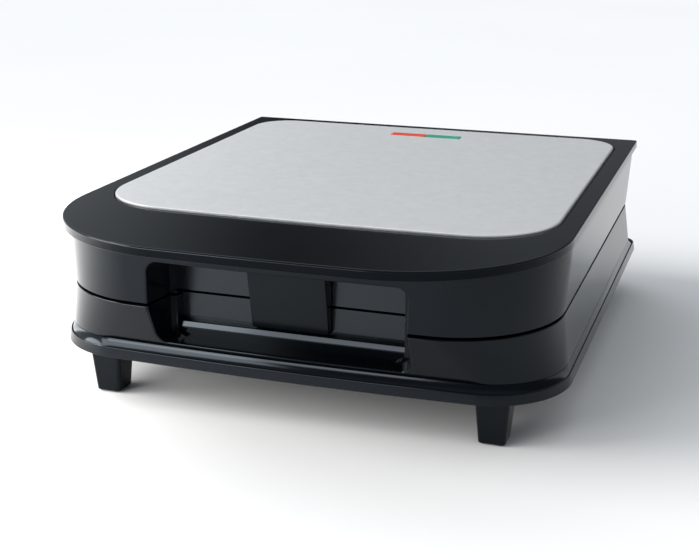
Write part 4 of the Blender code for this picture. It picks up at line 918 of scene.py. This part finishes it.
def noise(tree, scale, detail, roughness=0.5, stretch=(1, 1, 1)):
    coordinates = node(tree, "ShaderNodeTexCoord")
    mapping = node(tree, "ShaderNodeMapping")
    mapping.inputs["Scale"].default_value = stretch
    texture = node(tree, "ShaderNodeTexNoise")
    texture.inputs["Scale"].default_value = scale
    texture.inputs["Detail"].default_value = detail
    texture.inputs["Roughness"].default_value = roughness
    tree.links.new(coordinates.outputs["Object"], mapping.inputs["Vector"])
    tree.links.new(mapping.outputs["Vector"], texture.inputs["Vector"])
    return texture.outputs["Fac"]


def ranged(tree, source, low, high, span=(0.0, 1.0), curve="LINEAR"):
    """Maps a span of a value onto a range, from the low value to the high one."""
    made = node(tree, "ShaderNodeMapRange", interpolation_type=curve)
    made.inputs["From Min"].default_value, made.inputs["From Max"].default_value = span
    made.inputs["To Min"].default_value = low
    made.inputs["To Max"].default_value = high
    tree.links.new(source, made.inputs["Value"])
    return made.outputs["Result"]


def tint(tree, source, dark, light):
    made = node(tree, "ShaderNodeValToRGB")
    places = (TINT_START, TINT_END)
    for element, place, colour in zip(made.color_ramp.elements, places, (dark, light)):
        element.position = place
        element.color = (*colour, 1)
    tree.links.new(source, made.inputs["Fac"])
    return made.outputs["Color"]


def bump(tree, source, strength, distance):
    made = node(tree, "ShaderNodeBump")
    made.inputs["Strength"].default_value = strength
    made.inputs["Distance"].default_value = distance
    tree.links.new(source, made.inputs["Height"])
    return made.outputs["Normal"]


def plastic(name, dark, light, rough, grain=0.02, grain_scale=900, specular=0.5):
    """Faintly mottled and smudged, with a fine grain; rough is the range of its roughness."""
    material, tree, shader = new_material(name)
    mottle = noise(tree, MOTTLE_SCALE, 4)
    tree.links.new(tint(tree, mottle, dark, light), shader.inputs["Base Color"])
    smudge = noise(tree, SMUDGE_SCALE, 5, SMUDGE_ROUGHNESS)
    tree.links.new(ranged(tree, smudge, *rough), shader.inputs["Roughness"])
    fine = noise(tree, grain_scale, 2)
    tree.links.new(bump(tree, fine, grain, PLASTIC_GRAIN_DEPTH), shader.inputs["Normal"])
    shader.inputs["Specular IOR Level"].default_value = specular
    shader.inputs["Specular Tint"].default_value = COOL_REFLECTION
    return material


def metal(name, dark, light, rough, grain, grain_scale, stretch=(1, 1, 1), cloud_scale=22):
    """Cloudy in colour, with a grain that a stretch draws out into brush marks."""
    material, tree, shader = new_material(name)
    shader.inputs["Metallic"].default_value = 1.0
    fine = noise(tree, grain_scale, 5, GRAIN_ROUGHNESS, stretch)
    cloud = noise(tree, cloud_scale, 6, CLOUD_ROUGHNESS)
    tree.links.new(tint(tree, cloud, dark, light), shader.inputs["Base Color"])
    tree.links.new(ranged(tree, fine, *rough), shader.inputs["Roughness"])
    tree.links.new(bump(tree, fine, grain, METAL_GRAIN_DEPTH), shader.inputs["Normal"])
    return material


def lens_material(name, dark, light, rough, glow):
    material, tree, shader = new_material(name)
    tree.links.new(tint(tree, noise(tree, LENS_MOTTLE_SCALE, 2), dark, light), shader.inputs["Base Color"])
    tree.links.new(ranged(tree, noise(tree, LENS_SMUDGE_SCALE, 2), *rough), shader.inputs["Roughness"])
    shader.inputs["Emission Color"].default_value = (*light, 1)
    shader.inputs["Emission Strength"].default_value = glow
    shader.inputs["Coat Weight"].default_value = LENS_COAT
    shader.inputs["Specular IOR Level"].default_value = LENS_SPECULAR
    return material


GLOSS_DARK, GLOSS_LIGHT = (0.0012, 0.0018, 0.0027), (0.0018, 0.0025, 0.0036)
SATIN_DARK, SATIN_LIGHT = (0.002, 0.0026, 0.0036), (0.003, 0.0038, 0.005)
# Base colours of the recess back, lighter than the gloss black as painted sheen.
BACK_SHEEN_DARK, BACK_SHEEN_LIGHT = (0.003, 0.0037, 0.0048), (0.004, 0.005, 0.006)

FINISHES = {
    "gloss_black_plastic": plastic(
        "black_gloss", GLOSS_DARK, GLOSS_LIGHT, (0.09, 0.14), grain=0.008, specular=0.21
    ),
    # Painted shade: the gloss black with a weaker reflection, for the visor lip's face.
    "dark_lip": plastic("black_lip", GLOSS_DARK, GLOSS_LIGHT, (0.09, 0.14), grain=0.008, specular=0.08),
    "satin_black_plastic": plastic(
        "black_satin", SATIN_DARK, SATIN_LIGHT, (0.14, 0.20), grain=0.03, specular=0.21
    ),
    # Satin, with a lighter base colour and a stronger reflection than the gloss black as painted sheen.
    "satin_back": plastic("black_recess_back", BACK_SHEEN_DARK, BACK_SHEEN_LIGHT, (0.17, 0.23), specular=0.45),
    "brushed_steel": metal(
        "steel_brushed",
        (0.86, 0.832, 0.808),
        (0.94, 0.911, 0.88),
        (0.48, 0.56),
        grain=0.15,
        grain_scale=160,
        stretch=(1, 8, 1),
        cloud_scale=160,
    ),
    "bright_steel": metal(
        "steel_bright", (0.52, 0.52, 0.53), (0.60, 0.60, 0.61), (0.22, 0.32), grain=0.05, grain_scale=200
    ),
    "coated_aluminium": plastic(
        "plate_coating",
        (0.020, 0.020, 0.021),
        (0.030, 0.030, 0.031),
        (0.38, 0.5),
        grain=0.15,
        grain_scale=1400,
    ),
    "element_sheath": metal(
        "sheath", (0.20, 0.19, 0.18), (0.30, 0.28, 0.26), (0.4, 0.55), grain=0.1, grain_scale=150
    ),
    "rubber": plastic(
        "rubber_black",
        (0.012, 0.012, 0.012),
        (0.020, 0.020, 0.020),
        (0.7, 0.85),
        grain=0.1,
        grain_scale=1200,
    ),
    "red_lens": lens_material(
        "lens_red", (0.50, 0.05, 0.03), (0.62, 0.08, 0.04), (0.18, 0.28), glow=0.25
    ),
    "green_lens": lens_material(
        "lens_green", (0.02, 0.22, 0.14), (0.03, 0.32, 0.20), (0.18, 0.28), glow=0.15
    ),
    "white_plastic": plastic(
        "white_ceramic", (0.70, 0.69, 0.65), (0.78, 0.77, 0.73), (0.45, 0.6), grain=0.05
    ),
    "lamp_glass": plastic("lamp_glass", (0.70, 0.70, 0.68), (0.80, 0.80, 0.78), (0.05, 0.1), grain=0.0),
    "lead_insulation": plastic(
        "lead_sleeve", (0.38, 0.36, 0.32), (0.50, 0.48, 0.44), (0.6, 0.8), grain=0.3, grain_scale=2500
    ),
}


def finish_cad_nodes():
    for name, obj in frame["nodes"].items():
        obj.data.materials.clear()
        obj.data.materials.append(FINISHES[SLOTS[name]])


def stand_for(piece, body, node_name):
    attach(piece, body)
    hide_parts(node_name)


def dress():
    finish_cad_nodes()
    black = FINISHES["gloss_black_plastic"]
    stand_for(make_lid_shell(black, recess_cutter()), "lid", "lid_cover")
    stand_for(make_base_shell(black, recess_cutter()), "base", "base_housing")
    stand_for(make_tray_shell(black), "base", "base_tray")
    stand_for(make_panel(FINISHES["brushed_steel"]), "lid", "lid_panel")
    for colour in ("red", "green"):
        lens_node = "indicator_lens_" + colour
        lens = make_lens("lens_" + colour, lens_node, FINISHES[colour + "_lens"])
        stand_for(lens, "lid", lens_node)
    stand_for(make_latch(FINISHES["satin_black_plastic"]), "latch", "latch")
    coating = FINISHES["coated_aluminium"]
    stand_for(make_plate("plate_lower", coating, PLATE_HIGH.z, 1), "base", "lower_plate")
    stand_for(make_plate("plate_upper", coating, UPPER_LOW.z, -1), "lid", "upper_plate")


# Floor, lights and camera


def make_floor():
    reach = FLOOR_REACH
    floor = mesh_object("studio_floor", box((-reach, -reach, -FLOOR_DEPTH), (reach, reach, 0)))
    material, tree, shader = new_material("floor_white")
    colour = tint(tree, noise(tree, FLOOR_MOTTLE_SCALE, 2), FLOOR_DARK, FLOOR_LIGHT)
    tree.links.new(colour, shader.inputs["Base Color"])
    shader.inputs["Roughness"].default_value = FLOOR_ROUGHNESS
    floor.data.materials.append(material)


def area_light(light):
    data = bpy.data.lights.new(light.name, "AREA")
    data.energy = light.power
    data.shape = "RECTANGLE"
    data.size = light.width
    data.size_y = light.height
    obj = bpy.data.objects.new(light.name, data)
    obj.location = light.place
    toward = Vector(light.target) - Vector(light.place)
    obj.rotation_euler = toward.to_track_quat("-Z", "Y").to_euler()
    bpy.context.scene.collection.objects.link(obj)
    return obj


def blend(tree, factor, first, second):
    """Goes from the first strength to the second; each is a number or a node's output."""
    made = node(tree, "ShaderNodeMix", data_type="FLOAT")
    tree.links.new(factor, made.inputs[0])
    for socket, value in ((made.inputs[2], first), (made.inputs[3], second)):
        if isinstance(value, float):
            socket.default_value = value
        else:
            tree.links.new(value, socket)
    return made.outputs[0]


def make_world():
    """Soft studio walls: bright at the rear, dim low down, with a dark flag near the horizon."""
    world = bpy.data.worlds.new("studio")
    world.use_nodes = True
    tree = world.node_tree
    background = tree.nodes["Background"]
    coordinates = node(tree, "ShaderNodeTexCoord")
    axes = node(tree, "ShaderNodeSeparateXYZ")
    tree.links.new(coordinates.outputs["Generated"], axes.inputs["Vector"])
    x, y, z = axes.outputs

    def eased(source, span, low=0.0, high=1.0):
        return ranged(tree, source, low, high, span, "SMOOTHSTEP")

    left_of_flag = (FLAG_MIDDLE - FLAG_REACH, FLAG_MIDDLE)
    right_of_flag = (FLAG_MIDDLE, FLAG_MIDDLE + FLAG_REACH)
    flag = eased(x, left_of_flag, HORIZON_LEFT_STRENGTH, FLAG_STRENGTH)
    horizon = blend(tree, eased(x, right_of_flag), flag, HORIZON_RIGHT_STRENGTH)
    low = blend(tree, eased(x, LEFT_SPAN), horizon, LEFT_STRENGTH)
    rear = eased(x, REAR_SPAN, REAR_LEFT_STRENGTH, REAR_RIGHT_STRENGTH)
    high = blend(tree, eased(y, REAR_START), DOME_STRENGTH, rear)
    strength = blend(tree, eased(z, DOME_START), low, high)
    tree.links.new(strength, background.inputs["Strength"])
    background.inputs["Color"].default_value = WORLD_COLOUR
    bpy.context.scene.world = world


def key_light():
    """A distant soft light; its azimuth runs from the front (-Y) towards the left (-X)."""
    data = bpy.data.lights.new("left_key", "SUN")
    data.energy = KEY_STRENGTH
    data.angle = KEY_WIDTH
    light = bpy.data.objects.new("left_key", data)
    level = math.cos(KEY_ELEVATION)
    left = -math.sin(KEY_AZIMUTH) * level
    front = -math.cos(KEY_AZIMUTH) * level
    toward = Vector((left, front, math.sin(KEY_ELEVATION)))
    light.rotation_euler = toward.to_track_quat("Z", "Y").to_euler()
    bpy.context.scene.collection.objects.link(light)
    return light


def flag_off(light, piece):
    """Keeps a light's glare off one piece, as a flag in a studio does."""
    flagged = bpy.data.collections.new(light.name + "_flag")
    flagged.objects.link(piece)
    flagged.collection_objects[0].light_linking.link_state = "EXCLUDE"
    light.light_linking.receiver_collection = flagged


def make_lights():
    make_world()
    for light in (key_light(), area_light(FRONT_STRIP), area_light(LEFT_BOX)):
        flag_off(light, bpy.data.objects["steel_panel"])
    area_light(LEFT_WASH).data.spread = WASH_SPREAD
    bpy.context.scene.view_settings.view_transform = "Standard"


def make_camera():
    data = bpy.data.cameras.new("camera")
    data.lens = CAMERA_LENS
    data.sensor_width = SENSOR_WIDTH
    data.clip_start = CLIP_START
    camera = bpy.data.objects.new("camera", data)
    azimuth, elevation = CAMERA_AZIMUTH, CAMERA_ELEVATION
    level = math.cos(elevation)
    back = Vector((math.sin(azimuth) * level, -math.cos(azimuth) * level, math.sin(elevation)))
    right = Vector((math.cos(azimuth), math.sin(azimuth), 0))
    up = back.cross(right)
    turn = Matrix((right, up, back)).transposed().to_4x4()
    camera.matrix_world = Matrix.Translation(CAMERA_PLACE) @ turn
    bpy.context.scene.collection.objects.link(camera)
    bpy.context.scene.camera = camera


make_camera()
dress()
make_floor()
make_lights()
